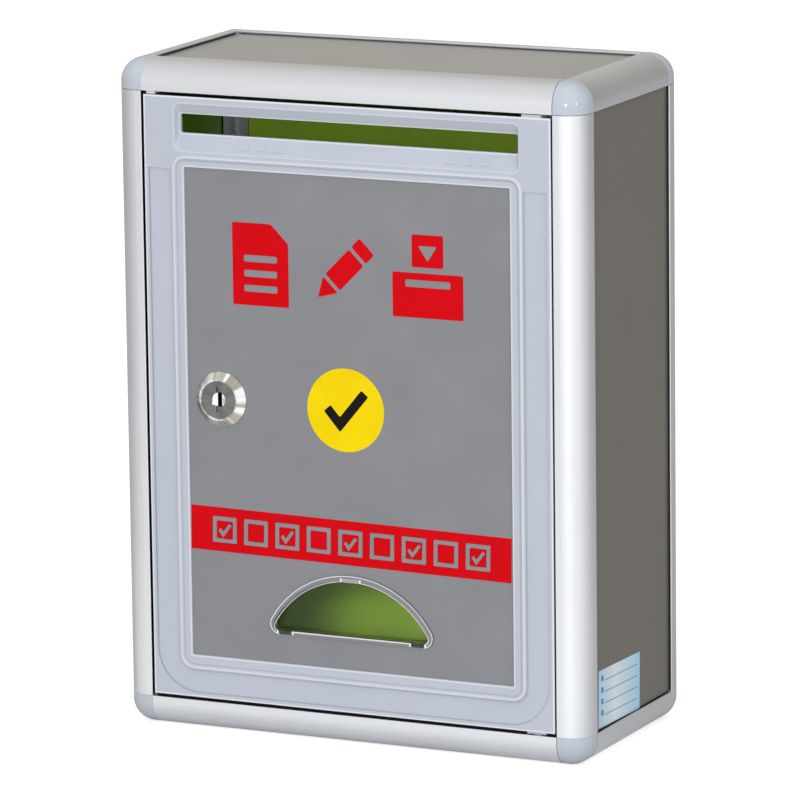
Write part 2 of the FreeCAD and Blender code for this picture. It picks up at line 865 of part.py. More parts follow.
front_pocket(
    window, "notches", "sheet_face - flange_thick", "notch_depth",
    rectangle("-clip_top_length / 2", "clip_top_length / 2", f"{window_top} - notch_width", window_top),
    rectangle(foot_left, foot_right, window_sill, f"{window_sill} + notch_width"),
    rectangle(f"-({foot_right})", f"-({foot_left})", window_sill, f"{window_sill} + notch_width"),
)
sub_part(window, "window_pane")


# Hinge pins, pressed into the door bosses

for label, foot, gap in (
    ("hinge_pin_upper", f"{door_top} - pin_seat", "door_gap_head"),
    ("hinge_pin_lower", "slot_floor + pin_end_clear", "door_gap_foot"),
):
    reach = f"pin_seat + {gap} + {bush_length} - pin_end_clear"
    sub_part(cylinder(label, "pin_radius", reach, (hinge_across, hinge_line, foot)), label)


# Cam lock

def lock_body(label):
    return new_body(label, (f"-{lock_across}", front, "lock_height"))


def turned(body, name, points):
    # A revolution about the lock axis; points are (radius, depth behind the front plane)
    sketch = new_sketch(body, name)
    draw_outline(sketch, points)
    feature = body.newObject("PartDesign::Revolution", f"{body.Name}_{name}_turned")
    feature.Profile = sketch
    feature.ReferenceAxis = (sketch, ["V_Axis"])
    return feature


head_radius = "(bezel_rim_radius - bezel_rim_width)"
head_back = f"({plug_front} + plug_head_depth)"
stem_bore = "(plug_radius + plug_run)"

housing = lock_body("lock_housing_round")
turned(housing, "section", [
    (head_radius, bezel_front),
    ("bezel_rim_radius", bezel_front),
    ("bezel_radius", "sheet_face - bezel_skirt"),
    ("bezel_radius", "sheet_face"),
    ("barrel_radius", "sheet_face"),
    ("barrel_radius", barrel_end),
    (stem_bore, barrel_end),
    (stem_bore, f"{head_back} + plug_run"),
    (head_radius, f"{head_back} + plug_run"),
])
flats = []
for low, high in (
    (f"-{lock_across} - barrel_radius - overrun", f"-{lock_across} - barrel_flat"),
    (f"-{lock_across} + barrel_flat", f"-{lock_across} + barrel_radius + overrun"),
):
    flats.append(box(
        f"barrel_flat_{len(flats)}",
        (low, f"{front} + sheet_face", "lock_height - barrel_radius"),
        (high, f"{front} + {barrel_end} + overrun", "lock_height + barrel_radius"),
    ))
sub_part(cut("lock_housing", housing, flats), "lock_housing")

lock_line = (f"-{lock_across}", f"{front} + {wall_back}", "lock_height")
thread_hole = "barrel_radius + thread_fit"
washer_disc = cylinder("washer_disc", "washer_radius", "washer_thick", lock_line, "y")
washer_hole = cylinder("washer_hole", thread_hole, "washer_thick", lock_line, "y")
sub_part(cut("lock_washer", washer_disc, [washer_hole]), "lock_washer")

nut_line = (f"-{lock_across}", f"{front} + {wall_back} + washer_thick", "lock_height")
hexagon = doc.addObject("Part::Prism", "nut_hexagon")
hexagon.Polygon = 6
bind(hexagon, "Circumradius", "nut_across_flats / 2 / cos(30)")
bind(hexagon, "Height", "nut_thick")
place(hexagon, nut_line, axis_turns["y"])
nut_hole = cylinder("nut_hole", thread_hole, "nut_thick", nut_line, "y")
sub_part(cut("lock_nut", hexagon, [nut_hole]), "lock_nut")

plug = lock_body("lock_plug")
turned(plug, "section", [
    ("0", f"{plug_front} + plug_dish_depth"),
    ("plug_dish_radius", plug_front),
    (f"{head_radius} - plug_run", plug_front),
    (f"{head_radius} - plug_run", head_back),
    ("plug_radius", head_back),
    ("plug_radius", cam_front),
    ("0", cam_front),
])
front_pad(
    plug, "tail", cam_front, "cam_thick",
    rectangle("-tail_side / 2", "tail_side / 2", "-tail_side / 2", "tail_side / 2"),
)
front_pocket(
    plug, "key_slot", plug_front, "key_slot_depth",
    rectangle(
        "-key_slot_width / 2", "key_slot_width / 2",
        "-key_slot_height / 2", "key_slot_height / 2",
    ),
)
front_pocket(
    plug, "key_guide", plug_front, "key_guide_depth",
    rectangle(
        "-key_guide_width / 2", "key_guide_width / 2",
        "-key_guide_height / 2", "key_guide_height / 2",
    ),
)
screw_bore = front_sketch(plug, "screw_bore", cam_back, [])
draw_circle(screw_bore, "0", "0", "screw_radius + screw_fit")
pocket(plug, screw_bore, "screw_length", reverse=True)
sub_part(plug, "lock_plug")

# The cam hangs down when unlocked; its arm is cranked forward to reach behind the post
cam = lock_body("lock_cam")
arm = new_sketch(cam, "arm", "YZ_Plane", "-cam_width / 2")
cam_tip = "(-(cam_length - cam_width / 2))"
draw_outline(arm, [
    (cam_front, "0"),
    (cam_front, "-cam_bend_start"),
    (tip_front, "-cam_bend_end"),
    (tip_front, cam_tip),
    (f"{tip_front} + cam_thick", cam_tip),
    (f"{tip_front} + cam_thick", "-cam_bend_end"),
    (cam_back, "-cam_bend_start"),
    (cam_back, "0"),
])
pad(cam, arm, "cam_width")
tip = front_sketch(cam, "tip", tip_front, [])
draw_circle(tip, "0", cam_tip, "cam_width / 2")
pad(cam, tip, "cam_thick", reverse=True)
hub = front_sketch(cam, "hub", cam_front, [])
draw_circle(hub, "0", "0", "cam_hub_radius")
pad(cam, hub, "cam_thick", reverse=True)
square = "(tail_side / 2 + tail_fit)"
front_pocket(cam, "square", cam_front, "cam_thick", rectangle(f"-{square}", square, f"-{square}", square))
sub_part(cam, "lock_cam")

cam_washer_line = (f"-{lock_across}", f"{front} + {cam_back}", "lock_height")
cam_disc = cylinder("cam_disc", "cam_washer_radius", "cam_washer_thick", cam_washer_line, "y")
cam_disc_hole = cylinder(
    "cam_disc_hole", "screw_radius + screw_fit", "cam_washer_thick", cam_washer_line, "y",
)
sub_part(cut("cam_washer", cam_disc, [cam_disc_hole]), "cam_washer")

head_line = (f"-{lock_across}", f"{front} + {cam_back} + cam_washer_thick", "lock_height")
shank_start = f"{front} + {cam_back} + cam_washer_thick - screw_length"
screw_head = cylinder("screw_head", "screw_head_radius", "screw_head_thick", head_line, "y")
screw_shank = cylinder(
    "screw_shank", "screw_radius", "screw_length", (f"-{lock_across}", shank_start, "lock_height"), "y",
)
driver_slot = box(
    "driver_slot",
    (
        f"-{lock_across} - screw_head_radius",
        f"{head_line[1]} + screw_head_thick - screw_slot_depth",
        "lock_height - screw_slot_width / 2",
    ),
    (
        f"-{lock_across} + screw_head_radius",
        f"{head_line[1]} + screw_head_thick + overrun",
        "lock_height + screw_slot_width / 2",
    ),
)
screw_blank = fuse("cam_screw_blank", [screw_head, screw_shank])
sub_part(cut("cam_screw", screw_blank, [driver_slot]), "cam_screw")

doc.recompute()
for thing in doc.Objects:
    faults = [state for state in thing.State if state in ("Invalid", "Error")]
    if faults:
        raise RuntimeError(f"{thing.Label}: {thing.getStatusString()}")
for thing in parts:
    if thing.Shape.isNull() or not thing.Shape.isValid():
        raise RuntimeError(f"{thing.Label} has no valid shape")

os.makedirs("parts", exist_ok=True)
for thing in parts:
    thing.Shape.exportStep(f"parts/{thing.Label}.step")
    print(f"{thing.Label}: {len(thing.Shape.Solids)} solid, {thing.Shape.Volume / 1000:.2f} cm3")
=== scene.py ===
import bpy
import math
from mathutils import Euler, Matrix, Vector


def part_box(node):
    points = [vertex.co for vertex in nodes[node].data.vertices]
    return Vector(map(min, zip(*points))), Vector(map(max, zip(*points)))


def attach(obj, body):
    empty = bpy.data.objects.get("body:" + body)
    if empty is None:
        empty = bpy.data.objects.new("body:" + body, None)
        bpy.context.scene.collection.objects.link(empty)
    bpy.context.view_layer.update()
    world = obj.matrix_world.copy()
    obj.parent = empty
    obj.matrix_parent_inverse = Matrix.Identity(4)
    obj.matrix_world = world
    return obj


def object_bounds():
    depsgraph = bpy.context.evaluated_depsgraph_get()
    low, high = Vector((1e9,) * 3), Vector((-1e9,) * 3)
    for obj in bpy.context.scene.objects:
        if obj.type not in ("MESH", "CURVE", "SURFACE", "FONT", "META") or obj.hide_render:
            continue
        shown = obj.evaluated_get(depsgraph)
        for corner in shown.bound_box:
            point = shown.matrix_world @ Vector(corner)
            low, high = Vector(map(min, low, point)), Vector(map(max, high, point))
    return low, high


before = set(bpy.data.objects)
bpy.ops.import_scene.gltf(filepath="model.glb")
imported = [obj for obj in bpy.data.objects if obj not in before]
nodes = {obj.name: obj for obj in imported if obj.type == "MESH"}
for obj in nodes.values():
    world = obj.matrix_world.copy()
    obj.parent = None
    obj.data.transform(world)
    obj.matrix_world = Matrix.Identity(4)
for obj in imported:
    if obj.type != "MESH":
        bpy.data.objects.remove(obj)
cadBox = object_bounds()
print("frame loaded:", len(nodes), "nodes")

mm = 0.001
white = (1.0, 1.0, 1.0, 1.0)
quarterTurn = math.radians(90)
doorLow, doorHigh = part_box("door_frame")
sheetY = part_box("door_panel")[0].y        # the face that the prints lie on
lockLow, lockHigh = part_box("lock_plug")
lockMiddle = (lockLow + lockHigh) / 2


# Small tools for shader trees

cloudSpan = (0.3, 0.7)                    # most of a noise lies between these


def colour(red, green, blue):             # sRGB, 0 to 255, to the linear values that sockets take
    shares = [tone / 255 for tone in (red, green, blue)]
    linear = [share / 12.92 if share <= 0.04045 else ((share + 0.055) / 1.055) ** 2.4 for share in shares]
    return (*linear, 1.0)


def plugIn(tree, socket, value):          # links another node's output, or sets a plain value
    if isinstance(value, bpy.types.NodeSocket):
        tree.links.new(value, socket)
    else:
        socket.default_value = value


def addNode(tree, kind, sockets=None, **settings):
    node = tree.nodes.new(kind)
    for name, value in settings.items():
        setattr(node, name, value)
    for name, value in (sockets or {}).items():
        plugIn(tree, node.inputs[name], value)
    return node


def mathNode(tree, operation, first, second=0.0):
    return addNode(tree, "ShaderNodeMath", {0: first, 1: second}, operation=operation).outputs[0]


def vectorNode(tree, operation, first, second=(0.0, 0.0, 0.0)):
    node = addNode(tree, "ShaderNodeVectorMath", {0: first, 1: second}, operation=operation)
    return node.outputs["Value" if operation in ("DOT_PRODUCT", "LENGTH") else "Vector"]


def axes(tree, place):
    return addNode(tree, "ShaderNodeSeparateXYZ", {0: place}).outputs


def noise(tree, place, scale, detail):
    sockets = {"Vector": place, "Scale": scale, "Detail": detail}
    return addNode(tree, "ShaderNodeTexNoise", sockets).outputs["Fac"]


def mapRange(tree, value, fromMin, fromMax, toMin=0.0, toMax=1.0):
    sockets = {"Value": value, "From Min": fromMin, "From Max": fromMax, "To Min": toMin, "To Max": toMax}
    return addNode(tree, "ShaderNodeMapRange", sockets).outputs["Result"]


def spread(tree, cloud, low=0.0, high=1.0):   # stretches the middle of a noise to a range
    return mapRange(tree, cloud, *cloudSpan, low, high)


def allOf(tree, *masks):                  # 1 where every mask is 1
    shared = masks[0]
    for mask in masks[1:]:
        shared = mathNode(tree, "MULTIPLY", shared, mask)
    return shared


def mixColour(tree, factor, first, second):
    node = addNode(tree, "ShaderNodeMix", {"Factor": factor}, data_type="RGBA")
    colours = [socket for socket in node.inputs if socket.type == "RGBA"]
    for socket, value in zip(colours, (first, second)):
        plugIn(tree, socket, value)
    return [socket for socket in node.outputs if socket.type == "RGBA"][0]


def newGroup(name, inputs, outputs):
    group = bpy.data.node_groups.new(name, "ShaderNodeTree")
    for label, kind, default in inputs:
        socket = group.interface.new_socket(name=label, in_out="INPUT", socket_type="NodeSocket" + kind)
        if default is not None:
            socket.default_value = default
    for label, kind in outputs:
        group.interface.new_socket(name=label, in_out="OUTPUT", socket_type="NodeSocket" + kind)
    start = group.nodes.new("NodeGroupInput").outputs
    end = group.nodes.new("NodeGroupOutput").inputs
    return group, start, end


def useGroup(tree, group, **sockets):
    return addNode(tree, "ShaderNodeGroup", sockets, node_tree=group).outputs


# Effects that several finishes share

effects = {"fineDetail": 2.0, "cloudDetail": 4.0, "streakDetail": 5.0, "patchDetail": 3.0,
           "patchScale": 140.0, "patchSpan": (0.35, 0.7), "edgeSamples": 6, "edgeFacing": (0.98, 0.75)}


def makeGrain():
    group, start, end = newGroup(
        "mouldGrain",
        [("Vector", "Vector", None), ("Grain", "Float", 2500.0), ("Cloud", "Float", 25.0)],
        [("Height", "Float"), ("Cloud", "Float")],
    )
    group.links.new(noise(group, start["Vector"], start["Grain"], effects["fineDetail"]), end["Height"])
    group.links.new(noise(group, start["Vector"], start["Cloud"], effects["cloudDetail"]), end["Cloud"])
    return group


def makeStreaks():
    group, start, end = newGroup(
        "drawnStreaks",
        [("Vector", "Vector", None), ("Stretch", "Vector", (1.0, 1.0, 1.0)), ("Cloud", "Float", 18.0)],
        [("Streak", "Float"), ("Cloud", "Float")],
    )
    stretched = vectorNode(group, "MULTIPLY", start["Vector"], start["Stretch"])
    group.links.new(noise(group, stretched, 1.0, effects["streakDetail"]), end["Streak"])
    group.links.new(noise(group, start["Vector"], start["Cloud"], effects["patchDetail"]), end["Cloud"])
    return group


# Paler edges where the bevelled normal turns away: painted edge highlights, broken into patches
def makeEdgeMask():
    group, start, end = newGroup(
        "edgeHighlights",
        [("Vector", "Vector", None), ("Radius", "Float", 0.8 * mm), ("Amount", "Float", 1.0),
         ("Least", "Float", 0.2)],
        [("Mask", "Float")],
    )
    rounded = addNode(group, "ShaderNodeBevel", {"Radius": start["Radius"]}, samples=effects["edgeSamples"])
    flat = addNode(group, "ShaderNodeNewGeometry")
    facing = vectorNode(group, "DOT_PRODUCT", rounded.outputs["Normal"], flat.outputs["Normal"])
    patchy = noise(group, start["Vector"], effects["patchScale"], effects["patchDetail"])
    patches = mapRange(group, patchy, *effects["patchSpan"], start["Least"], 1.0)
    highlitEdges = mathNode(group, "MULTIPLY", mapRange(group, facing, *effects["edgeFacing"]), patches)
    group.links.new(mathNode(group, "MULTIPLY", highlitEdges, start["Amount"]), end["Mask"])
    return group


def makeOutlineDistance():                # how far a spot lies outside a rounded outline on the door
    group, start, end = newGroup(
        "outlineDistance",
        [("Vector", "Vector", None), ("HalfWidth", "Float", 0.1), ("Low", "Float", 0.0),
         ("High", "Float", 0.3), ("Round", "Float", 6.0 * mm)],
        [("Distance", "Float")],
    )
    at = axes(group, start["Vector"])
    across = mathNode(group, "SUBTRACT", mathNode(group, "ABSOLUTE", at["X"]), start["HalfWidth"])
    above = mathNode(group, "MAXIMUM", mathNode(group, "SUBTRACT", at["Z"], start["High"]),
                     mathNode(group, "SUBTRACT", start["Low"], at["Z"]))
    across, above = [mathNode(group, "ADD", reach, start["Round"]) for reach in (across, above)]
    beyond = [mathNode(group, "MAXIMUM", reach, 0.0) for reach in (across, above)]
    squares = [mathNode(group, "POWER", reach, 2.0) for reach in beyond]
    corner = mathNode(group, "SQRT", mathNode(group, "ADD", *squares))
    within = mathNode(group, "MINIMUM", mathNode(group, "MAXIMUM", across, above), 0.0)
    distance = mathNode(group, "SUBTRACT", mathNode(group, "ADD", corner, within), start["Round"])
    group.links.new(distance, end["Distance"])
    return group


grainGroup = makeGrain()
streakGroup = makeStreaks()
edgeGroup = makeEdgeMask()
outlineGroup = makeOutlineDistance()
print("shared effects made")


# Finishes

def newFinish(name, **constants):
    material = bpy.data.materials.new(name)
    material.use_nodes = True
    tree = material.node_tree
    shader = tree.nodes["Principled BSDF"]
    for label, value in constants.items():
        shader.inputs[label.replace("_", " ")].default_value = value
    place = addNode(tree, "ShaderNodeTexCoord").outputs["Object"]
    return material, tree, shader, place


def dress(tree, shader, tone, rough, height, bump, depth):   # links colour, roughness and bump
    tree.links.new(tone, shader.inputs["Base Color"])
    tree.links.new(rough, shader.inputs["Roughness"])
    bumpNode = addNode(tree, "ShaderNodeBump", {"Height": height, "Strength": bump, "Distance": depth})
    tree.links.new(bumpNode.outputs["Normal"], shader.inputs["Normal"])


# slot: painted shade inside the panel slots; edgeHighlight: painted highlight on the edges
satin = {
    "tone": colour(225, 227, 231), "shade": colour(221, 223, 228), "edgeHighlight": colour(248, 249, 252),
    "slot": colour(22, 21, 20), "slotFrom": 9.0 * mm, "slotLip": 0.55 * mm, "slotEnd": 5.5 * mm,
    "roughness": (0.46, 0.54), "along": 5.0, "across": 5200.0, "bump": 0.03, "depth": 0.02 * mm,
    "highlightAmount": 0.8, "highlightLeast": 0.5,
}
caseMiddle = (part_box("left_panel")[0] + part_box("right_panel")[1]) / 2
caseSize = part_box("corner_top_rear_right")[1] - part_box("corner_bottom_front_left")[0]


def slotShadeMask(tree, place, axis):          # 1 in the panel slots of an extrusion that runs along the axis, where shade is painted
    spots = axes(tree, place)
    depths = []
    for other in (number for number in range(3) if number != axis):
        aside = mathNode(tree, "ABSOLUTE", mathNode(tree, "SUBTRACT", spots[other], caseMiddle[other]))
        depths.append(mathNode(tree, "SUBTRACT", caseSize[other] / 2, aside))
    near, far = mathNode(tree, "MINIMUM", *depths), mathNode(tree, "MAXIMUM", *depths)
    behindLip = mathNode(tree, "GREATER_THAN", near, satin["slotLip"])
    beforeFin = mathNode(tree, "LESS_THAN", near, satin["slotEnd"])
    besideCore = mathNode(tree, "GREATER_THAN", far, satin["slotFrom"])
    return allOf(tree, behindLip, beforeFin, besideCore)


def satinMetal(name, axis, slotShadeAmount=1.0):    # anodised extrusion, drawn along one axis, with painted shade in its slots
    material, tree, shader, place = newFinish(name)
    stretch = [satin["across"]] * 3
    stretch[axis] = satin["along"]
    streak = useGroup(tree, streakGroup, Vector=place, Stretch=stretch)
    edges = useGroup(tree, edgeGroup, Vector=place, Amount=satin["highlightAmount"], Least=satin["highlightLeast"])
    tone = mixColour(tree, spread(tree, streak["Streak"]), satin["shade"], satin["tone"])
    # pale edges: painted highlights
    tone = mixColour(tree, edges["Mask"], tone, satin["edgeHighlight"])
    # the panel slots are painted near-black and not metallic: painted shade
    paintedSlotShade = mathNode(tree, "MULTIPLY", slotShadeMask(tree, place, axis), slotShadeAmount)
    tone = mixColour(tree, paintedSlotShade, tone, satin["slot"])
    tree.links.new(mathNode(tree, "SUBTRACT", 1.0, paintedSlotShade), shader.inputs["Metallic"])
    rough = spread(tree, streak["Cloud"], *satin["roughness"])
    dress(tree, shader, tone, rough, streak["Streak"], satin["bump"], satin["depth"])
    return material


plastic = {"highlightLeast": 0.7, "depth": 0.05 * mm}
# edgeHighlight in each grade is a painted highlight on the edges
plasticGrades = {
    "corner": {
        "tone": colour(195, 203, 214), "shade": colour(190, 198, 209), "edgeHighlight": colour(242, 246, 251),
        "roughness": (0.1, 0.16), "grain": 1800.0, "bump": 0.02, "edge": 0.8 * mm, "highlightAmount": 0.9,
    },
    "door": {
        "tone": colour(195, 202, 214), "shade": colour(191, 198, 210), "edgeHighlight": colour(230, 236, 243),
        "roughness": (0.34, 0.42), "grain": 2600.0, "bump": 0.08, "edge": 0.45 * mm, "highlightAmount": 0.35,
    },
    "nylon": {
        "tone": colour(226, 226, 220), "shade": colour(214, 213, 206), "edgeHighlight": colour(236, 236, 232),
        "roughness": (0.4, 0.52), "grain": 2200.0, "bump": 0.06, "edge": 0.5 * mm, "highlightAmount": 0.9,
    },
}
# dark: painted shade on the door's edge faces in the gap
doorGap = {"dark": colour(14, 14, 15), "behind": 1.2 * mm, "margin": 0.25 * mm, "head": 1.3 * mm,
           "foot": 1.0 * mm, "bosses": 88.0 * mm}
doorLightShadeLines = {
    # light and dark are the colours of the painted highlight lines and painted shade lines
    "light": colour(240, 243, 248), "dark": colour(156, 163, 174),
    "depth": 5.0 * mm, "channelTop": 269.5 * mm,
    "outlines": {                         # half width, low, high and corner radius, in mm
        "edge": (104.15, 15.9, 303.8, 0.6), "bead": (88.9, 30.45, 275.1, 6.0),
        "opening": (83.5, 36.5, 270.5, 0.5), "channel": (101.9, 18.15, 320.0, 21.0),
        "tray": (88.2, 277.9, 300.35, 3.0), "slot": (86.3, 286.1, 295.1, 0.8),
    },
    # outline, mm outside it, half width in mm, tone (painted highlight or painted shade), share, whether it
    # stops at channelTop
    "lines": [
        ("edge", -0.4, 0.55, "light", 0.9, False), ("opening", 0.45, 0.55, "light", 0.5, False),
        ("bead", 0.1, 0.6, "light", 0.5, False), ("bead", -1.5, 0.45, "dark", 0.5, False),
        ("bead", 1.5, 0.4, "dark", 0.3, True), ("channel", -0.1, 0.4, "dark", 0.5, True),
        ("tray", 0.2, 0.4, "light", 0.3, False), ("slot", 0.4, 0.5, "light", 0.5, False),
    ],
}


def gapShadeMask(tree, place):                 # 1 on the outer edge faces of the door, painted near-black as the gap's shade
    at, margin = axes(tree, place), doorGap["margin"]
    atSide = mathNode(tree, "GREATER_THAN", mathNode(tree, "ABSOLUTE", at["X"]), doorHigh.x - margin)
    atHead = mathNode(tree, "GREATER_THAN", at["Z"], doorHigh.z - doorGap["head"] - margin)
    atFoot = mathNode(tree, "LESS_THAN", at["Z"], doorLow.z + doorGap["foot"] + margin)
    besideBosses = mathNode(tree, "LESS_THAN", at["X"], doorGap["bosses"])
    atEnd = allOf(tree, mathNode(tree, "MAXIMUM", atHead, atFoot), besideBosses)
    behind = mathNode(tree, "GREATER_THAN", at["Y"], doorLow.y + doorGap["behind"])
    return allOf(tree, mathNode(tree, "MAXIMUM", atSide, atEnd), behind)


def paintDoorLightShade(tree, place, tone):          # painted highlights along the edges and painted shade in the corners of the door's mouldings
    at = axes(tree, place)
    inFront = mathNode(tree, "LESS_THAN", at["Y"], doorLow.y + doorLightShadeLines["depth"])
    underTop = mathNode(tree, "LESS_THAN", at["Z"], doorLightShadeLines["channelTop"])
    for outline, offset, half, shade, share, stops in doorLightShadeLines["lines"]:
        halfWidth, low, high, corner = [length * mm for length in doorLightShadeLines["outlines"][outline]]
        away = useGroup(tree, outlineGroup, Vector=place, HalfWidth=halfWidth, Low=low, High=high,
                        Round=corner)
        off = mathNode(tree, "ABSOLUTE", mathNode(tree, "SUBTRACT", away["Distance"], offset * mm))
        line = allOf(tree, mapRange(tree, off, half * mm / 2, half * mm, share, 0.0), inFront)
        mask = allOf(tree, line, underTop) if stops else line
        tone = mixColour(tree, mask, tone, doorLightShadeLines[shade])
    return tone


def mouldedPlastic(grade):
    values = plasticGrades[grade]
    material, tree, shader, place = newFinish(grade + "Plastic", IOR=1.5)
    grain = useGroup(tree, grainGroup, Vector=place, Grain=values["grain"])
    edges = useGroup(tree, edgeGroup, Vector=place, Radius=values["edge"], Amount=values["highlightAmount"],
                     Least=plastic["highlightLeast"])
    tone = mixColour(tree, spread(tree, grain["Cloud"]), values["shade"], values["tone"])
    # pale edges: painted highlights
    tone = mixColour(tree, edges["Mask"], tone, values["edgeHighlight"])
    if grade == "door":
        # the door's edge faces get painted shade, and its mouldings painted highlight and shade lines
        tone = mixColour(tree, gapShadeMask(tree, place), paintDoorLightShade(tree, place, tone), doorGap["dark"])
    rough = spread(tree, grain["Cloud"], *values["roughness"])
    dress(tree, shader, tone, rough, grain["Height"], values["bump"], plastic["depth"])
    return material


laminate = {
    "grey": colour(114, 110, 102), "greyShade": colour(109, 105, 98), "paintedTopLight": colour(168, 166, 164),
    "green": colour(194, 234, 76), "greenShade": colour(184, 224, 68), "paintedFootShade": colour(16, 15, 14),
    "roughness": (0.3, 0.38), "grain": 2000.0, "cloud": 30.0, "bump": 0.004, "depth": 0.04 * mm,
    "skin": 1.5 * mm, "thick": 3.2 * mm, "footShadow": 0.15 * mm,
}


def panelLaminate():                      # grey on the outside of the case, green on the inside
    material, tree, shader, place = newFinish("panelLaminate", IOR=1.52)
    grain = useGroup(tree, grainGroup, Vector=place, Grain=laminate["grain"], Cloud=laminate["cloud"])
    at, skin = axes(tree, place), laminate["skin"]
    aside = mathNode(tree, "ABSOLUTE", at["X"])
    right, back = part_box("right_panel")[1].x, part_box("back_panel")[1].y
    foot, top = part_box("bottom_panel")[0].z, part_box("top_panel")[1].z
    inSides = mathNode(tree, "LESS_THAN", aside, right - skin)
    inBack = mathNode(tree, "LESS_THAN", at["Y"], back - skin)
    overFoot = mathNode(tree, "GREATER_THAN", at["Z"], foot + skin)
    underTop = mathNode(tree, "LESS_THAN", at["Z"], top - skin)
    onTop = mathNode(tree, "GREATER_THAN", at["Z"], top - skin)
    cloud = spread(tree, grain["Cloud"])
    outer = mixColour(tree, cloud, laminate["greyShade"], laminate["grey"])
    # the top panel is painted lighter: painted light from above
    outer = mixColour(tree, allOf(tree, onTop, inSides), outer, laminate["paintedTopLight"])
    inner = mixColour(tree, cloud, laminate["greenShade"], laminate["green"])
    tone = mixColour(tree, allOf(tree, inSides, inBack, overFoot, underTop), outer, inner)
    # the side panels' foot, above the bottom rails, is painted near-black: painted shade
    onSides = mathNode(tree, "GREATER_THAN", aside, right - laminate["thick"])
    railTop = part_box("rail_bottom_right")[1].z + laminate["footShadow"]
    footShadeMask = allOf(tree, onSides, mathNode(tree, "LESS_THAN", at["Z"], railTop))
    tone = mixColour(tree, footShadeMask, tone, laminate["paintedFootShade"])
    rough = spread(tree, grain["Cloud"], *laminate["roughness"])
    dress(tree, shader, tone, rough, grain["Height"], laminate["bump"], laminate["depth"])
    return material


printedSheet = {"tone": colour(139, 140, 145), "shade": colour(134, 135, 140), "roughness": (0.4, 0.5),
                "grain": 3200.0, "cloud": 45.0, "bump": 0.05, "depth": 0.03 * mm}


def doorSheet():
    material, tree, shader, place = newFinish("doorSheet", IOR=1.5)
    grain = useGroup(tree, grainGroup, Vector=place, Grain=printedSheet["grain"],
                     Cloud=printedSheet["cloud"])
    tone = mixColour(tree, spread(tree, grain["Cloud"]), printedSheet["shade"], printedSheet["tone"])
    rough = spread(tree, grain["Cloud"], *printedSheet["roughness"])
    dress(tree, shader, tone, rough, grain["Height"], printedSheet["bump"], printedSheet["depth"])
    return material


ink = {"roughness": (0.34, 0.44), "grain": 3000.0, "cloud": 60.0, "bump": 0.04, "depth": 0.02 * mm}


def printInk(name, tone, shade):
    material, tree, shader, place = newFinish(name, IOR=1.48, Specular_IOR_Level=0.1)
    grain = useGroup(tree, grainGroup, Vector=place, Grain=ink["grain"], Cloud=ink["cloud"])
    tone = mixColour(tree, spread(tree, grain["Cloud"]), shade, tone)
    rough = spread(tree, grain["Cloud"], *ink["roughness"])
    dress(tree, shader, tone, rough, grain["Height"], ink["bump"], ink["depth"])
    return material


polish = {"grain": 1500.0, "cloud": 160.0, "cloudSpan": (0.4, 0.6), "reflectionSpan": (0.44, 0.56),
          "edge": 0.4 * mm, "highlightAmount": 0.5, "bump": 0.05, "depth": 0.01 * mm}


def flatPlace(tree, place):               # place on the lock's face, from its middle
    return vectorNode(tree, "MULTIPLY", vectorNode(tree, "SUBTRACT", place, lockMiddle), (1.0, 0.0, 1.0))


def polishedMetal(name, tone, shade, roughness, reflectionSectors=None, dishHighlight=None):
    material, tree, shader, place = newFinish(name, Metallic=1.0)
    grain = useGroup(tree, grainGroup, Vector=place, Grain=polish["grain"], Cloud=polish["cloud"])
    edges = useGroup(tree, edgeGroup, Vector=place, Radius=polish["edge"], Amount=polish["highlightAmount"])
    cloud = mapRange(tree, grain["Cloud"], *polish["cloudSpan"])
    if reflectionSectors:                            # painted reflections in sectors that run out from the lock's middle
        around = vectorNode(tree, "NORMALIZE", flatPlace(tree, place))
        marks = useGroup(tree, grainGroup, Vector=around, Cloud=reflectionSectors)
        cloud = mapRange(tree, marks["Cloud"], *polish["reflectionSpan"])
    tone = mixColour(tree, cloud, shade, tone)
    if dishHighlight:                              # a painted highlight on the dish round the keyway
        outward = vectorNode(tree, "LENGTH", flatPlace(tree, place))
        tone = mixColour(tree, mathNode(tree, "LESS_THAN", outward, dishHighlight), tone, white)
    # pale edges: painted highlights
    tone = mixColour(tree, edges["Mask"], tone, white)
    rough = spread(tree, grain["Cloud"], *roughness)
    dress(tree, shader, tone, rough, grain["Height"], polish["bump"], polish["depth"])
    return material


acrylic = {"tint": (0.96, 0.98, 0.97, 1.0), "shadow": (0.93, 0.96, 0.94, 1.0), "roughness": (0.02, 0.07),
           "grain": 900.0, "cloud": 90.0}


def clearAcrylic():                       # lamps shine through it into the case
    material, tree, shader, place = newFinish(
        "clearAcrylic", Base_Color=acrylic["tint"], IOR=1.25, Transmission_Weight=1.0)
    grain = useGroup(tree, grainGroup, Vector=place, Grain=acrylic["grain"], Cloud=acrylic["cloud"])
    tree.links.new(spread(tree, grain["Cloud"], *acrylic["roughness"]), shader.inputs["Roughness"])
    clear = addNode(tree, "ShaderNodeBsdfTransparent", {"Color": acrylic["shadow"]})
    path = addNode(tree, "ShaderNodeLightPath")
    both = addNode(tree, "ShaderNodeMixShader",
                   {0: path.outputs["Is Shadow Ray"], 1: shader.outputs[0], 2: clear.outputs[0]})
    tree.links.new(both.outputs[0], tree.nodes["Material Output"].inputs["Surface"])
    return material


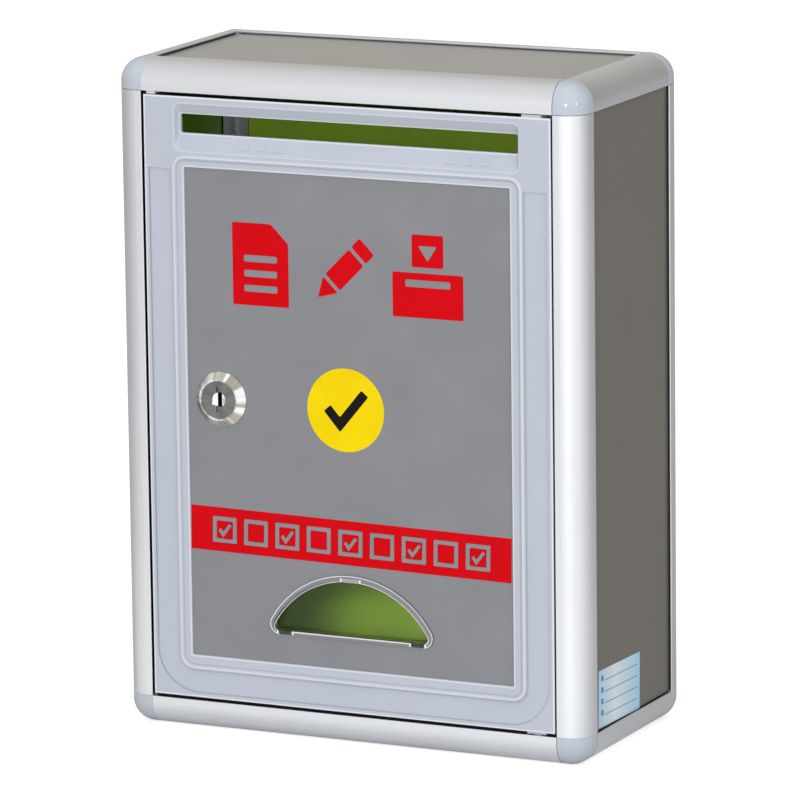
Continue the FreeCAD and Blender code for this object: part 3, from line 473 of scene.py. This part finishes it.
metals = {
    "chrome": {
        "tone": (0.95, 0.96, 0.98, 1.0), "shade": (0.44, 0.41, 0.34, 1.0), "roughness": (0.04, 0.07),
        "reflectionSectors": 1.9,
    },
    "nickel": {
        "tone": (0.25, 0.245, 0.235, 1.0), "shade": (0.18, 0.185, 0.195, 1.0), "roughness": (0.12, 0.18),
        "reflectionSectors": 1.3, "dishHighlight": 3.4 * mm,
    },
    "zinc": {"tone": (0.66, 0.65, 0.62, 1.0), "shade": (0.56, 0.56, 0.55, 1.0), "roughness": (0.26, 0.4)},
}
finishes = {
    "upright": satinMetal("satinUpright", axis=2),
    "across": satinMetal("satinAcross", axis=0),
    "rear": satinMetal("satinRear", axis=0, slotShadeAmount=0.15),
    "deep": satinMetal("satinDeep", axis=1),
    "corner": mouldedPlastic("corner"),
    "door": mouldedPlastic("door"),
    "nylon": mouldedPlastic("nylon"),
    "panel": panelLaminate(),
    "sheet": doorSheet(),
    "window": clearAcrylic(),
    "chrome": polishedMetal("lockChrome", **metals["chrome"]),
    "nickel": polishedMetal("plugNickel", **metals["nickel"]),
    "zinc": polishedMetal("zincSteel", **metals["zinc"]),
    "redInk": printInk("redInk", colour(222, 0, 17), colour(213, 0, 14)),
    "yellowInk": printInk("yellowInk", colour(255, 226, 6), colour(250, 216, 2)),
    "blackInk": printInk("blackInk", colour(24, 22, 22), colour(18, 17, 17)),
    "greyInk": printInk("greyInk", colour(150, 151, 155), colour(145, 146, 150)),
    "ruleBlue": printInk("ruleBlue", colour(92, 158, 206), colour(84, 148, 198)),
    # white ink for the painted highlights on the window insert
    "windowHighlight": printInk("windowEdgeHighlight", colour(240, 243, 244), colour(232, 236, 238)),
    "keyway": printInk("keywayBlack", colour(20, 19, 18), colour(12, 12, 12)),
    "notch": printInk("notchShade", colour(80, 76, 78), colour(70, 66, 68)),
    "clip": printInk("clipHead", colour(186, 180, 184), colour(170, 164, 168)),
}
nodeFinishes = {                          # by the start of a node's name; the first match counts
    "post": "upright", "rail_top_front": "across", "rail_bottom_front": "across",
    "rail_top_rear": "rear", "rail_bottom_rear": "rear", "rail": "deep", "corner": "corner",
    "top_panel": "panel", "bottom_panel": "panel", "left_panel": "panel", "right_panel": "panel",
    "back_panel": "panel", "door_frame": "door", "door_panel": "sheet", "door_stop_clip": "nylon",
    "window_pane": "window", "lock_housing": "chrome", "lock_plug": "nickel", "hinge_bush": "nylon",
    "": "zinc",
}
for name, node in nodes.items():
    start = next(start for start in nodeFinishes if name.startswith(start))
    node.material_slots[0].material = finishes[nodeFinishes[start]]
print("finishes set on", len(nodes), "nodes")


# Modelling tools

hair = 0.001 * mm                         # points closer than this are one


def deselectAll():
    if bpy.context.mode != "OBJECT":
        bpy.ops.object.mode_set(mode="OBJECT")
    bpy.ops.object.select_all(action="DESELECT")


def pick(piece):
    deselectAll()
    piece.select_set(True)
    bpy.context.view_layer.objects.active = piece


def clearMeshSelection(piece):            # leaves the piece picked, with none of its mesh selected
    pick(piece)
    bpy.ops.object.mode_set(mode="EDIT")
    bpy.ops.mesh.select_all(action="DESELECT")
    bpy.ops.object.mode_set(mode="OBJECT")


def setDown(piece, body, finish):   # place goes into the mesh, then the piece rides on its body
    pick(piece)
    bpy.ops.object.transform_apply(location=True, rotation=True, scale=True)
    piece.data.materials.clear()
    piece.data.materials.append(finishes[finish])
    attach(piece, body)


def flatShape(name, outlines, thick):     # outlines across and up, in mm, cut from a thin layer
    curve = bpy.data.curves.new(name, "CURVE")
    curve.dimensions = "2D"
    curve.fill_mode = "BOTH"
    curve.extrude = thick / 2
    for outline in outlines:
        spline = curve.splines.new("POLY")
        spline.points.add(len(outline) - 1)
        spline.use_cyclic_u = True
        for point, (across, up) in zip(spline.points, outline):
            point.co = (across * mm, up * mm, 0.0, 1.0)
    piece = bpy.data.objects.new(name, curve)
    bpy.context.collection.objects.link(piece)
    pick(piece)
    bpy.ops.object.convert(target="MESH")
    bpy.ops.object.mode_set(mode="EDIT")
    bpy.ops.mesh.select_all(action="SELECT")
    bpy.ops.mesh.remove_doubles(threshold=hair)
    bpy.ops.mesh.normals_make_consistent(inside=False)
    bpy.ops.object.mode_set(mode="OBJECT")
    return piece


def roundCorners(piece, width, segments=4):   # bevels the edges that run through the layer
    clearMeshSelection(piece)
    points = piece.data.vertices
    for edge in piece.data.edges:
        ends = [points[i].co for i in edge.vertices]
        edge.select = (ends[0].xy - ends[1].xy).length < hair
    bpy.ops.object.mode_set(mode="EDIT")
    bpy.ops.mesh.select_mode(type="EDGE")
    bpy.ops.mesh.bevel(offset=width, segments=segments, affect="EDGES")
    bpy.ops.object.mode_set(mode="OBJECT")
    return piece


def rectangle(left, right, low, high):
    return [(left, low), (right, low), (right, high), (left, high)]


def circle(radius, steps):
    turns = [2 * math.pi * step / steps for step in range(steps)]
    return [(radius * math.cos(turn), radius * math.sin(turn)) for turn in turns]


def stroke(points, width, mitre=0.2):     # an open line of straight runs, widened to both sides
    near, far = [], []
    for index, point in enumerate(points):
        here = Vector(point)
        before = Vector(points[max(index - 1, 0)])
        after = Vector(points[min(index + 1, len(points) - 1)])
        into = (here - before).normalized() if index else (after - here).normalized()
        out = (after - here).normalized() if index < len(points) - 1 else into
        normal = Vector((-(into + out).y, (into + out).x)).normalized()
        reach = width / 2 / max(normal.dot(Vector((-into.y, into.x))), mitre)
        near.append(tuple(here + normal * reach))
        far.append(tuple(here - normal * reach))
    return near + far[::-1]


def printOnSheet(piece, finish, across, up, thick, lift=0.0, lean=0.0):   # lays a print on the door sheet
    piece.rotation_euler = (quarterTurn, math.radians(lean), 0.0)
    piece.location = (across * mm, sheetY - lift - thick / 2, up * mm)
    setDown(piece, "door", finish)


# Printed band across the door sheet, with a row of voting boxes left in grey

band = {
    "left": -83.25, "right": 82.6, "up": 97.3, "rise": 21.2, "lean": 0.91, "thick": 0.06 * mm,
    "boxes": 9, "pitch": 16.4, "box": 12.4, "line": 1.9, "round": 0.3 * mm, "marksThick": 0.03 * mm,
    "tick": [(-2.7, 0.2), (-0.8, -2.3), (2.9, 2.6)], "tickWidth": 1.6,
}
bandOutline = rectangle(band["left"], band["right"], -band["rise"] / 2, band["rise"] / 2)
bandPiece = flatShape("red_band", [bandOutline], band["thick"])
printOnSheet(bandPiece, "redInk", 0.0, band["up"], band["thick"], lean=band["lean"])

markOutlines = []
for number in range(band["boxes"]):
    middle = (number - (band["boxes"] - 1) / 2) * band["pitch"]
    for half in (band["box"] / 2, band["box"] / 2 - band["line"]):
        markOutlines.append(rectangle(middle - half, middle + half, -half, half))
    if number % 2 == 0:
        tick = [(middle + across, up) for across, up in band["tick"]]
        markOutlines.append(stroke(tick, band["tickWidth"]))
marks = roundCorners(flatShape("band_marks", markOutlines, band["marksThick"]), band["round"])
printOnSheet(marks, "greyInk", 0.0, band["up"], band["marksThick"], band["thick"], band["lean"])
print("band printed")


# Red pictograms on the door sheet: a slip of paper, a pencil, and a slip going into a box

pictograms = {"across": -1.6, "up": 226.5, "spacing": 43.0, "thick": 0.06 * mm, "round": 0.9 * mm}
slip = {"half": 14.5, "rise": 19.5, "fold": 9.0, "lineHalf": 8.6, "line": 3.2, "rows": (-11.5, -4.4, 2.7)}
pencil = {"length": 34.0, "width": 10.5, "tip": 9.0, "cap": 6.0, "gap": 1.8, "turn": 135.0}
castBox = {"half": 18.0, "foot": -19.5, "top": 1.5, "slotHalf": 11.5, "slotLow": -5.2, "slotHigh": -1.8,
           "slipHalf": 8.0, "slipLow": 4.2, "slipHigh": 19.5, "arrow": 4.8}

half, rise, fold = slip["half"], slip["rise"], slip["fold"]
slipOutlines = [[(-half, -rise), (half, -rise), (half, rise - fold), (half - fold, rise), (-half, rise)]]
for row in slip["rows"]:
    low, high = row - slip["line"] / 2, row + slip["line"] / 2
    slipOutlines.append(rectangle(-slip["lineHalf"], slip["lineHalf"], low, high))

half, side, gap = pencil["length"] / 2, pencil["width"] / 2, pencil["gap"]
shoulder, capStart = half - pencil["tip"], -half + pencil["cap"]
pencilOutlines = [
    rectangle(-side, side, capStart + gap, shoulder),
    rectangle(-side, side, -half, capStart),
    [(-side, shoulder + gap), (side, shoulder + gap), (0.0, half + gap)],
]
turn = Matrix.Rotation(math.radians(pencil["turn"]), 2)
pencilOutlines = [[tuple(turn @ Vector(point)) for point in outline] for outline in pencilOutlines]

arrow = castBox["arrow"]
slipMiddle = (castBox["slipLow"] + castBox["slipHigh"]) / 2
boxOutlines = [
    rectangle(-castBox["half"], castBox["half"], castBox["foot"], castBox["top"]),
    rectangle(-castBox["slotHalf"], castBox["slotHalf"], castBox["slotLow"], castBox["slotHigh"]),
    rectangle(-castBox["slipHalf"], castBox["slipHalf"], castBox["slipLow"], castBox["slipHigh"]),
    [(0.0, slipMiddle - arrow), (arrow, slipMiddle + arrow / 2), (-arrow, slipMiddle + arrow / 2)],
]
for name, place, outlines in (
    ("title_slip", -1, slipOutlines), ("title_pencil", 0, pencilOutlines), ("title_box", 1, boxOutlines),
):
    piece = roundCorners(flatShape(name, outlines, pictograms["thick"]), pictograms["round"])
    across = pictograms["across"] + place * pictograms["spacing"]
    printOnSheet(piece, "redInk", across, pictograms["up"], pictograms["thick"])
print("pictograms printed")


# Yellow disc with a tick

disc = {"across": -1.55, "up": 160.6, "radius": 19.8, "steps": 120, "thick": 0.06 * mm,
        "tick": [(-9.5, 0.5), (-3.0, -7.0), (10.0, 8.5)], "tickWidth": 4.6, "tickThick": 0.03 * mm,
        "round": 0.8 * mm}
discPiece = flatShape("yellow_disc", [circle(disc["radius"], disc["steps"])], disc["thick"])
printOnSheet(discPiece, "yellowInk", disc["across"], disc["up"], disc["thick"])
tickOutline = stroke(disc["tick"], disc["tickWidth"])
tickPiece = roundCorners(flatShape("disc_tick", [tickOutline], disc["tickThick"]), disc["round"])
printOnSheet(tickPiece, "blackInk", disc["across"], disc["up"], disc["tickThick"], disc["thick"])
print("disc printed")


# Blank write-on label on the right side of the case

label = {
    "near": 19.3, "far": 67.4, "low": 14.9, "high": 42.2, "lean": -1.4, "thick": 0.08 * mm,
    "round": 0.4 * mm, "rules": 4, "ruleInset": 3.0, "rule": 0.4, "box": 2.6, "boxGap": 1.6,
    "ruleThick": 0.02 * mm, "paleShare": -0.2, "pale": colour(238, 250, 255),
    "nearBlue": colour(190, 224, 250), "farBlue": colour(174, 226, 255),
}
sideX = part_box("right_panel")[1].x
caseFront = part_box("post_front_right")[0].y
labelMiddle = caseFront + (label["near"] + label["far"]) / 2 * mm
labelHalf = (label["far"] - label["near"]) / 2
labelRise = (label["high"] - label["low"]) / 2
labelUp = (label["high"] + label["low"]) / 2 * mm


def labelPaper():                         # pale, with a blue fade towards the near and far ends
    material, tree, shader, place = newFinish("labelPaper", IOR=1.48)
    grain = useGroup(tree, grainGroup, Vector=place, Grain=ink["grain"], Cloud=ink["cloud"])
    along = axes(tree, place)["Y"]
    pale = labelMiddle + label["paleShare"] * labelHalf * mm
    toNear = mapRange(tree, along, pale, labelMiddle - labelHalf * mm)
    toFar = mapRange(tree, along, pale, labelMiddle + labelHalf * mm)
    tone = mixColour(tree, toNear, label["pale"], label["nearBlue"])
    tone = mixColour(tree, toFar, tone, label["farBlue"])
    rough = spread(tree, grain["Cloud"], *ink["roughness"])
    dress(tree, shader, tone, rough, grain["Height"], ink["bump"], ink["depth"])
    return material


def layOnSide(piece, finish, thick, lift=0.0):
    lean = Matrix.Rotation(math.radians(label["lean"]), 3, "X")
    piece.rotation_euler = (lean @ Euler((quarterTurn, 0.0, quarterTurn)).to_matrix()).to_euler()
    piece.location = (sideX + lift + thick / 2, labelMiddle, labelUp)
    setDown(piece, "case", finish)


finishes["paper"] = labelPaper()
labelOutline = rectangle(-labelHalf, labelHalf, -labelRise, labelRise)
labelPiece = roundCorners(flatShape("blank_label", [labelOutline], label["thick"]), label["round"])
layOnSide(labelPiece, "paper", label["thick"])
ruleHalf = labelHalf - label["ruleInset"]
ruleSpace = 2 * labelRise / (label["rules"] + 1)
ruleStart = label["box"] + label["boxGap"] - ruleHalf
ruleOutlines = []
for row in range(1, label["rules"] + 1):
    up = row * ruleSpace - labelRise
    ruleOutlines.append(rectangle(ruleStart, ruleHalf, up - label["rule"] / 2, up + label["rule"] / 2))
    ruleOutlines.append(rectangle(-ruleHalf, label["box"] - ruleHalf, up, up + label["box"]))
rulePiece = flatShape("label_rules", ruleOutlines, label["ruleThick"])
layOnSide(rulePiece, "ruleBlue", label["ruleThick"], label["thick"])
print("label laid")


# Raised pointers on the lower slope of the paper slot's tray

pointers = {
    "groups": (-43.0, 62.0), "count": 3, "pitch": 9.0, "half": 3.0, "rise": 4.2, "up": 281.8,
    "round": 0.5 * mm, "raised": 0.5 * mm, "trayFoot": 277.9, "slotFoot": 286.1, "trayDepth": 3.5,
    "beadRise": 0.6,
}
trayRise = pointers["slotFoot"] - pointers["trayFoot"]
slope = math.atan2(pointers["trayDepth"], trayRise)
slopeShare = (pointers["up"] - pointers["trayFoot"]) / trayRise
low, high = -pointers["rise"] / 2, pointers["rise"] / 2
pointerOutlines = []
for middle in pointers["groups"]:
    for number in range(pointers["count"]):
        at = middle + (number - (pointers["count"] - 1) / 2) * pointers["pitch"]
        pointerOutlines.append([(at - pointers["half"], low), (at + pointers["half"], low), (at, high)])
pointerPiece = flatShape("slot_pointers", pointerOutlines, pointers["raised"] * 2)
roundCorners(pointerPiece, pointers["round"])
pointerPiece.rotation_euler = (quarterTurn - slope, 0.0, 0.0)
depthHere = pointers["beadRise"] + slopeShare * pointers["trayDepth"]
pointerPiece.location = (0.0, doorLow.y + depthHere * mm, pointers["up"] * mm)
setDown(pointerPiece, "door", "door")
print("pointers raised")


# Painted highlights along the window insert's edges and beside its notches, its clip head, notches and grey
# flange film

rim = {
    "lap": 1.5, "round": 3.5, "radius": 46.7, "steps": 48, "outer": 0.42, "wall": 1.4, "inner": 0.3,
    "proud": 0.04 * mm, "sillDrop": 1.0, "sillLow": -0.2, "sillHigh": 0.08, "sillGap": 0.1, "glintWidth": 1.0,
    "notchTop": 8.8, "notchFoot": 6.8, "notchAt": 34.4, "notchWidth": 1.7, "notchDrop": 1.3,
    "film": 0.02 * mm, "filmEdge": 0.02, "filmHole": -0.55, "filmShift": (-0.5, -0.4),
}
paneLow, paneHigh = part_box("window_pane")
paneSill, paneTop = paneLow.z / mm + rim["lap"], paneHigh.z / mm - rim["lap"]


def paneOutline(grow, drop=0.0):          # a circle cut off at the sill, with rounded ends
    centre = paneTop - rim["radius"]
    endUp = paneSill - drop + rim["round"]
    endAcross = math.sqrt((rim["radius"] - rim["round"]) ** 2 - (endUp - centre) ** 2)
    turn = math.atan2(endUp - centre, endAcross)
    outline = []
    for across, up, radius, first, last in (
        (endAcross, endUp, rim["round"] + grow, -math.pi / 2, turn),
        (0.0, centre, rim["radius"] + grow, turn, math.pi - turn),
        (-endAcross, endUp, rim["round"] + grow, math.pi - turn, math.pi * 1.5),
    ):
        angles = [first + (last - first) * step / rim["steps"] for step in range(rim["steps"])]
        outline += [(across + radius * math.cos(angle), up + radius * math.sin(angle)) for angle in angles]
    return outline + [(-endAcross, paneSill - drop - grow)]


def layOnPane(name, outlines, thick, frontY, finish):
    piece = flatShape(name, outlines, thick)
    piece.rotation_euler = (quarterTurn, 0.0, 0.0)
    piece.location = (0.0, frontY + thick / 2, 0.0)
    setDown(piece, "door", finish)


notchOutlines, glintOutlines = [], []
notchLow = paneSill - rim["notchDrop"]
for middle, length, low in (
    (0.0, rim["notchTop"], paneTop - rim["notchWidth"]),
    (-rim["notchAt"], rim["notchFoot"], notchLow), (rim["notchAt"], rim["notchFoot"], notchLow),
):
    left, right, high = middle - length / 2, middle + length / 2, low + rim["notchWidth"]
    notchOutlines.append(rectangle(left, right, low, high))
    glintOutlines.append(rectangle(left - rim["glintWidth"], left, low, high))
    glintOutlines.append(rectangle(right, right + rim["glintWidth"], low, high))
sillHalf = rim["notchAt"] - rim["notchFoot"] / 2 - rim["glintWidth"] - rim["sillGap"]
glintOutlines.append(rectangle(-sillHalf, sillHalf, paneSill + rim["sillLow"], paneSill + rim["sillHigh"]))
edgeHighlightOutlines = [
    paneOutline(rim["lap"]) + paneOutline(rim["lap"] - rim["outer"])[::-1],
    paneOutline(-rim["wall"] + rim["inner"], rim["sillDrop"]), paneOutline(-rim["wall"], rim["sillDrop"]),
]
shiftAcross, shiftUp = rim["filmShift"]
filmHole = [(across + shiftAcross, up + shiftUp) for across, up in paneOutline(rim["filmHole"])]
filmOutlines = [paneOutline(rim["lap"] - rim["filmEdge"]), filmHole]
edgeFront = paneLow.y - rim["proud"]
markFront = edgeFront - rim["film"]       # the painted glints, clip head and notches lie over the painted edge highlights
layOnPane("window_edge_highlights", edgeHighlightOutlines, rim["proud"], edgeFront, "windowHighlight")
layOnPane("window_glints", glintOutlines, rim["proud"], markFront, "windowHighlight")
layOnPane("window_clip", notchOutlines[:1], rim["proud"], markFront, "clip")
layOnPane("window_notches", notchOutlines[1:], rim["proud"], markFront, "notch")
layOnPane("window_film", filmOutlines, rim["film"], paneLow.y - rim["film"], "sheet")
print("window edges laid")


# Dark liner inside the lock plug's keyway, put there as painted shade

keyway = {"width": 2.05, "height": 6.8, "front": 1.65, "depth": 6.6, "wall": 0.35, "hollow": 4.0}
deselectAll()
bpy.ops.mesh.primitive_cube_add(size=1.0)
liner = bpy.context.active_object
liner.name = "keyway_shade_liner"
linerFront = lockLow.y + keyway["front"] * mm
liner.scale = (keyway["width"] * mm, keyway["depth"] * mm, keyway["height"] * mm)
liner.location = (lockMiddle.x, linerFront + keyway["depth"] / 2 * mm, lockMiddle.z)
bpy.ops.object.transform_apply(location=True, rotation=True, scale=True)
clearMeshSelection(liner)
for face in liner.data.polygons:
    face.select = face.normal.y < -0.9    # the front face
bpy.ops.object.mode_set(mode="EDIT")
bpy.ops.mesh.select_mode(type="FACE")
bpy.ops.mesh.inset(thickness=keyway["wall"] * mm)
bpy.ops.mesh.extrude_region_move(TRANSFORM_OT_translate={"value": (0.0, keyway["hollow"] * mm, 0.0)})
bpy.ops.object.mode_set(mode="OBJECT")
setDown(liner, "lock_core", "keyway")
print("keyway lined")


# Floor, light and camera

studio = {
    "floorSize": 14.0, "floorDrop": 0.05 * mm, "floorTone": (0.6, 0.6, 0.6, 1.0), "floorRoughness": 0.9,
    "floorGloss": 0.1, "floorLevel": 0.7, "backdropShare": 0.12,
    "sheenFrom": (32.0, 0.0), "sheenSpan": (-0.25, 0.8), "sheen": 0.5, "sheenNear": (0.02, 0.3),
    "glow": 0.62, "glowFrom": (0.045, 0.09), "glowTo": (0.25, 0.7),
    "lightFrom": (30.0, 25.0), "lightSpan": (-0.6, 0.85), "light": (0.47, 0.97),
    "shadeFrom": (130.0, 0.0), "shadeSpan": (0.25, 0.97), "shade": 0.36,
    "cool": (0.985, 0.995, 1.02, 1.0), "warm": (1.0, 0.95, 0.8, 1.0),
    "lamps": {
        "left": {"azimuth": 13.0, "elevation": 12.0, "distance": 3.0, "size": (0.5, 0.4), "power": 19.0},
        "right": {"azimuth": 62.0, "elevation": 14.0, "distance": 3.0, "size": (0.32, 0.34), "power": 7.0},
        "top": {"azimuth": 20.0, "elevation": 80.0, "distance": 2.2, "size": (1.2, 1.2), "power": 1.6},
    },
}


def towards(azimuth, elevation):          # azimuth 0 is in front of the door, 90 to its right
    around, above = math.radians(azimuth), math.radians(elevation)
    across, forward = math.sin(around) * math.cos(above), math.cos(around) * math.cos(above)
    return Vector((across, -forward, math.sin(above)))


def seenRays(tree, cameraLevel, glossLevel):   # one level for the camera, another for what shows in gloss
    path = addNode(tree, "ShaderNodeLightPath").outputs
    gloss = mathNode(tree, "MAXIMUM", path["Is Glossy Ray"], path["Is Transmission Ray"])
    seen = mathNode(tree, "MULTIPLY", path["Is Camera Ray"], cameraLevel)
    return mathNode(tree, "MAXIMUM", seen, mathNode(tree, "MULTIPLY", gloss, glossLevel))


deselectAll()
floorPlace = (0.0, 0.0, cadBox[0].z - studio["floorDrop"])
bpy.ops.mesh.primitive_plane_add(size=studio["floorSize"], location=floorPlace)
floor = bpy.context.active_object
floor.name = "floor"
floorMaterial, floorTree, floorShader, floorSpot = newFinish(
    "paleFloor", Base_Color=studio["floorTone"], Roughness=studio["floorRoughness"],
    Specular_IOR_Level=studio["floorGloss"], Emission_Color=white)
outward = vectorNode(floorTree, "NORMALIZE", floorSpot)
inFront = vectorNode(floorTree, "DOT_PRODUCT", outward, towards(*studio["sheenFrom"]))
farOut = vectorNode(floorTree, "LENGTH", floorSpot)
forward = mathNode(floorTree, "MULTIPLY", axes(floorTree, floorSpot)["Y"], -1.0)
glow = allOf(floorTree, mapRange(floorTree, forward, *studio["glowFrom"], 0.0, studio["glow"]),
             mapRange(floorTree, farOut, *studio["glowTo"], 1.0, 0.0))
sheen = allOf(floorTree, mapRange(floorTree, inFront, *studio["sheenSpan"], 0.0, studio["sheen"]),
              mapRange(floorTree, farOut, *studio["sheenNear"]))
shown = seenRays(floorTree, studio["floorLevel"], mathNode(floorTree, "MAXIMUM", sheen, glow))
floorTree.links.new(shown, floorShader.inputs["Emission Strength"])
floor.data.materials.append(floorMaterial)

world = bpy.data.worlds.new("studioWorld")
bpy.context.scene.world = world
world.use_nodes = True
worldTree = world.node_tree
backdrop = worldTree.nodes["Background"]
direction = addNode(worldTree, "ShaderNodeTexCoord").outputs["Generated"]


def facingShare(side, span, levels):      # a level that follows how far a direction points to one side
    facing = vectorNode(worldTree, "DOT_PRODUCT", direction, towards(*side))
    return mapRange(worldTree, facing, *span, *levels)


lit = facingShare(studio["lightFrom"], studio["lightSpan"], studio["light"])
shaded = facingShare(studio["shadeFrom"], studio["shadeSpan"], (0.0, studio["shade"]))
softLight = mathNode(worldTree, "MAXIMUM", mathNode(worldTree, "SUBTRACT", lit, shaded), 0.0)
seen = seenRays(worldTree, 1.0, studio["backdropShare"])
unseen = mathNode(worldTree, "MULTIPLY", softLight, mathNode(worldTree, "SUBTRACT", 1.0, seen))
worldTree.links.new(mathNode(worldTree, "ADD", unseen, seen), backdrop.inputs["Strength"])
warmth = facingShare(studio["lightFrom"], studio["lightSpan"], (1.0, 0.0))
tint = mixColour(worldTree, warmth, studio["cool"], studio["warm"])
worldTree.links.new(mixColour(worldTree, seen, tint, white), backdrop.inputs["Color"])

target = (cadBox[0] + cadBox[1]) / 2
for name, lamp in studio["lamps"].items():
    spot = target + towards(lamp["azimuth"], lamp["elevation"]) * lamp["distance"]
    bpy.ops.object.light_add(type="AREA", location=spot)
    light = bpy.context.active_object
    light.name = name + "Lamp"
    light.data.shape = "RECTANGLE"
    light.data.size, light.data.size_y = lamp["size"]
    light.data.energy = lamp["power"]
    light.rotation_euler = (target - spot).to_track_quat("-Z", "Y").to_euler()

view = {"eye": (1.29944, -2.72644, 0.76533), "azimuth": 25.486, "elevation": 11.422, "roll": -0.71,
        "lens": 293.4, "reach": 100.0}
bpy.ops.object.camera_add(location=view["eye"])
camera = bpy.context.active_object
camera.data.lens = view["lens"]
camera.data.clip_end = view["reach"]
aim = Euler((quarterTurn - math.radians(view["elevation"]), 0.0, math.radians(view["azimuth"]))).to_matrix()
roll = Matrix.Rotation(math.radians(view["roll"]), 3, "Z")
camera.rotation_euler = (aim @ roll).to_euler()
bpy.context.scene.camera = camera
bpy.context.scene.view_settings.view_transform = "Standard"
print("studio set")
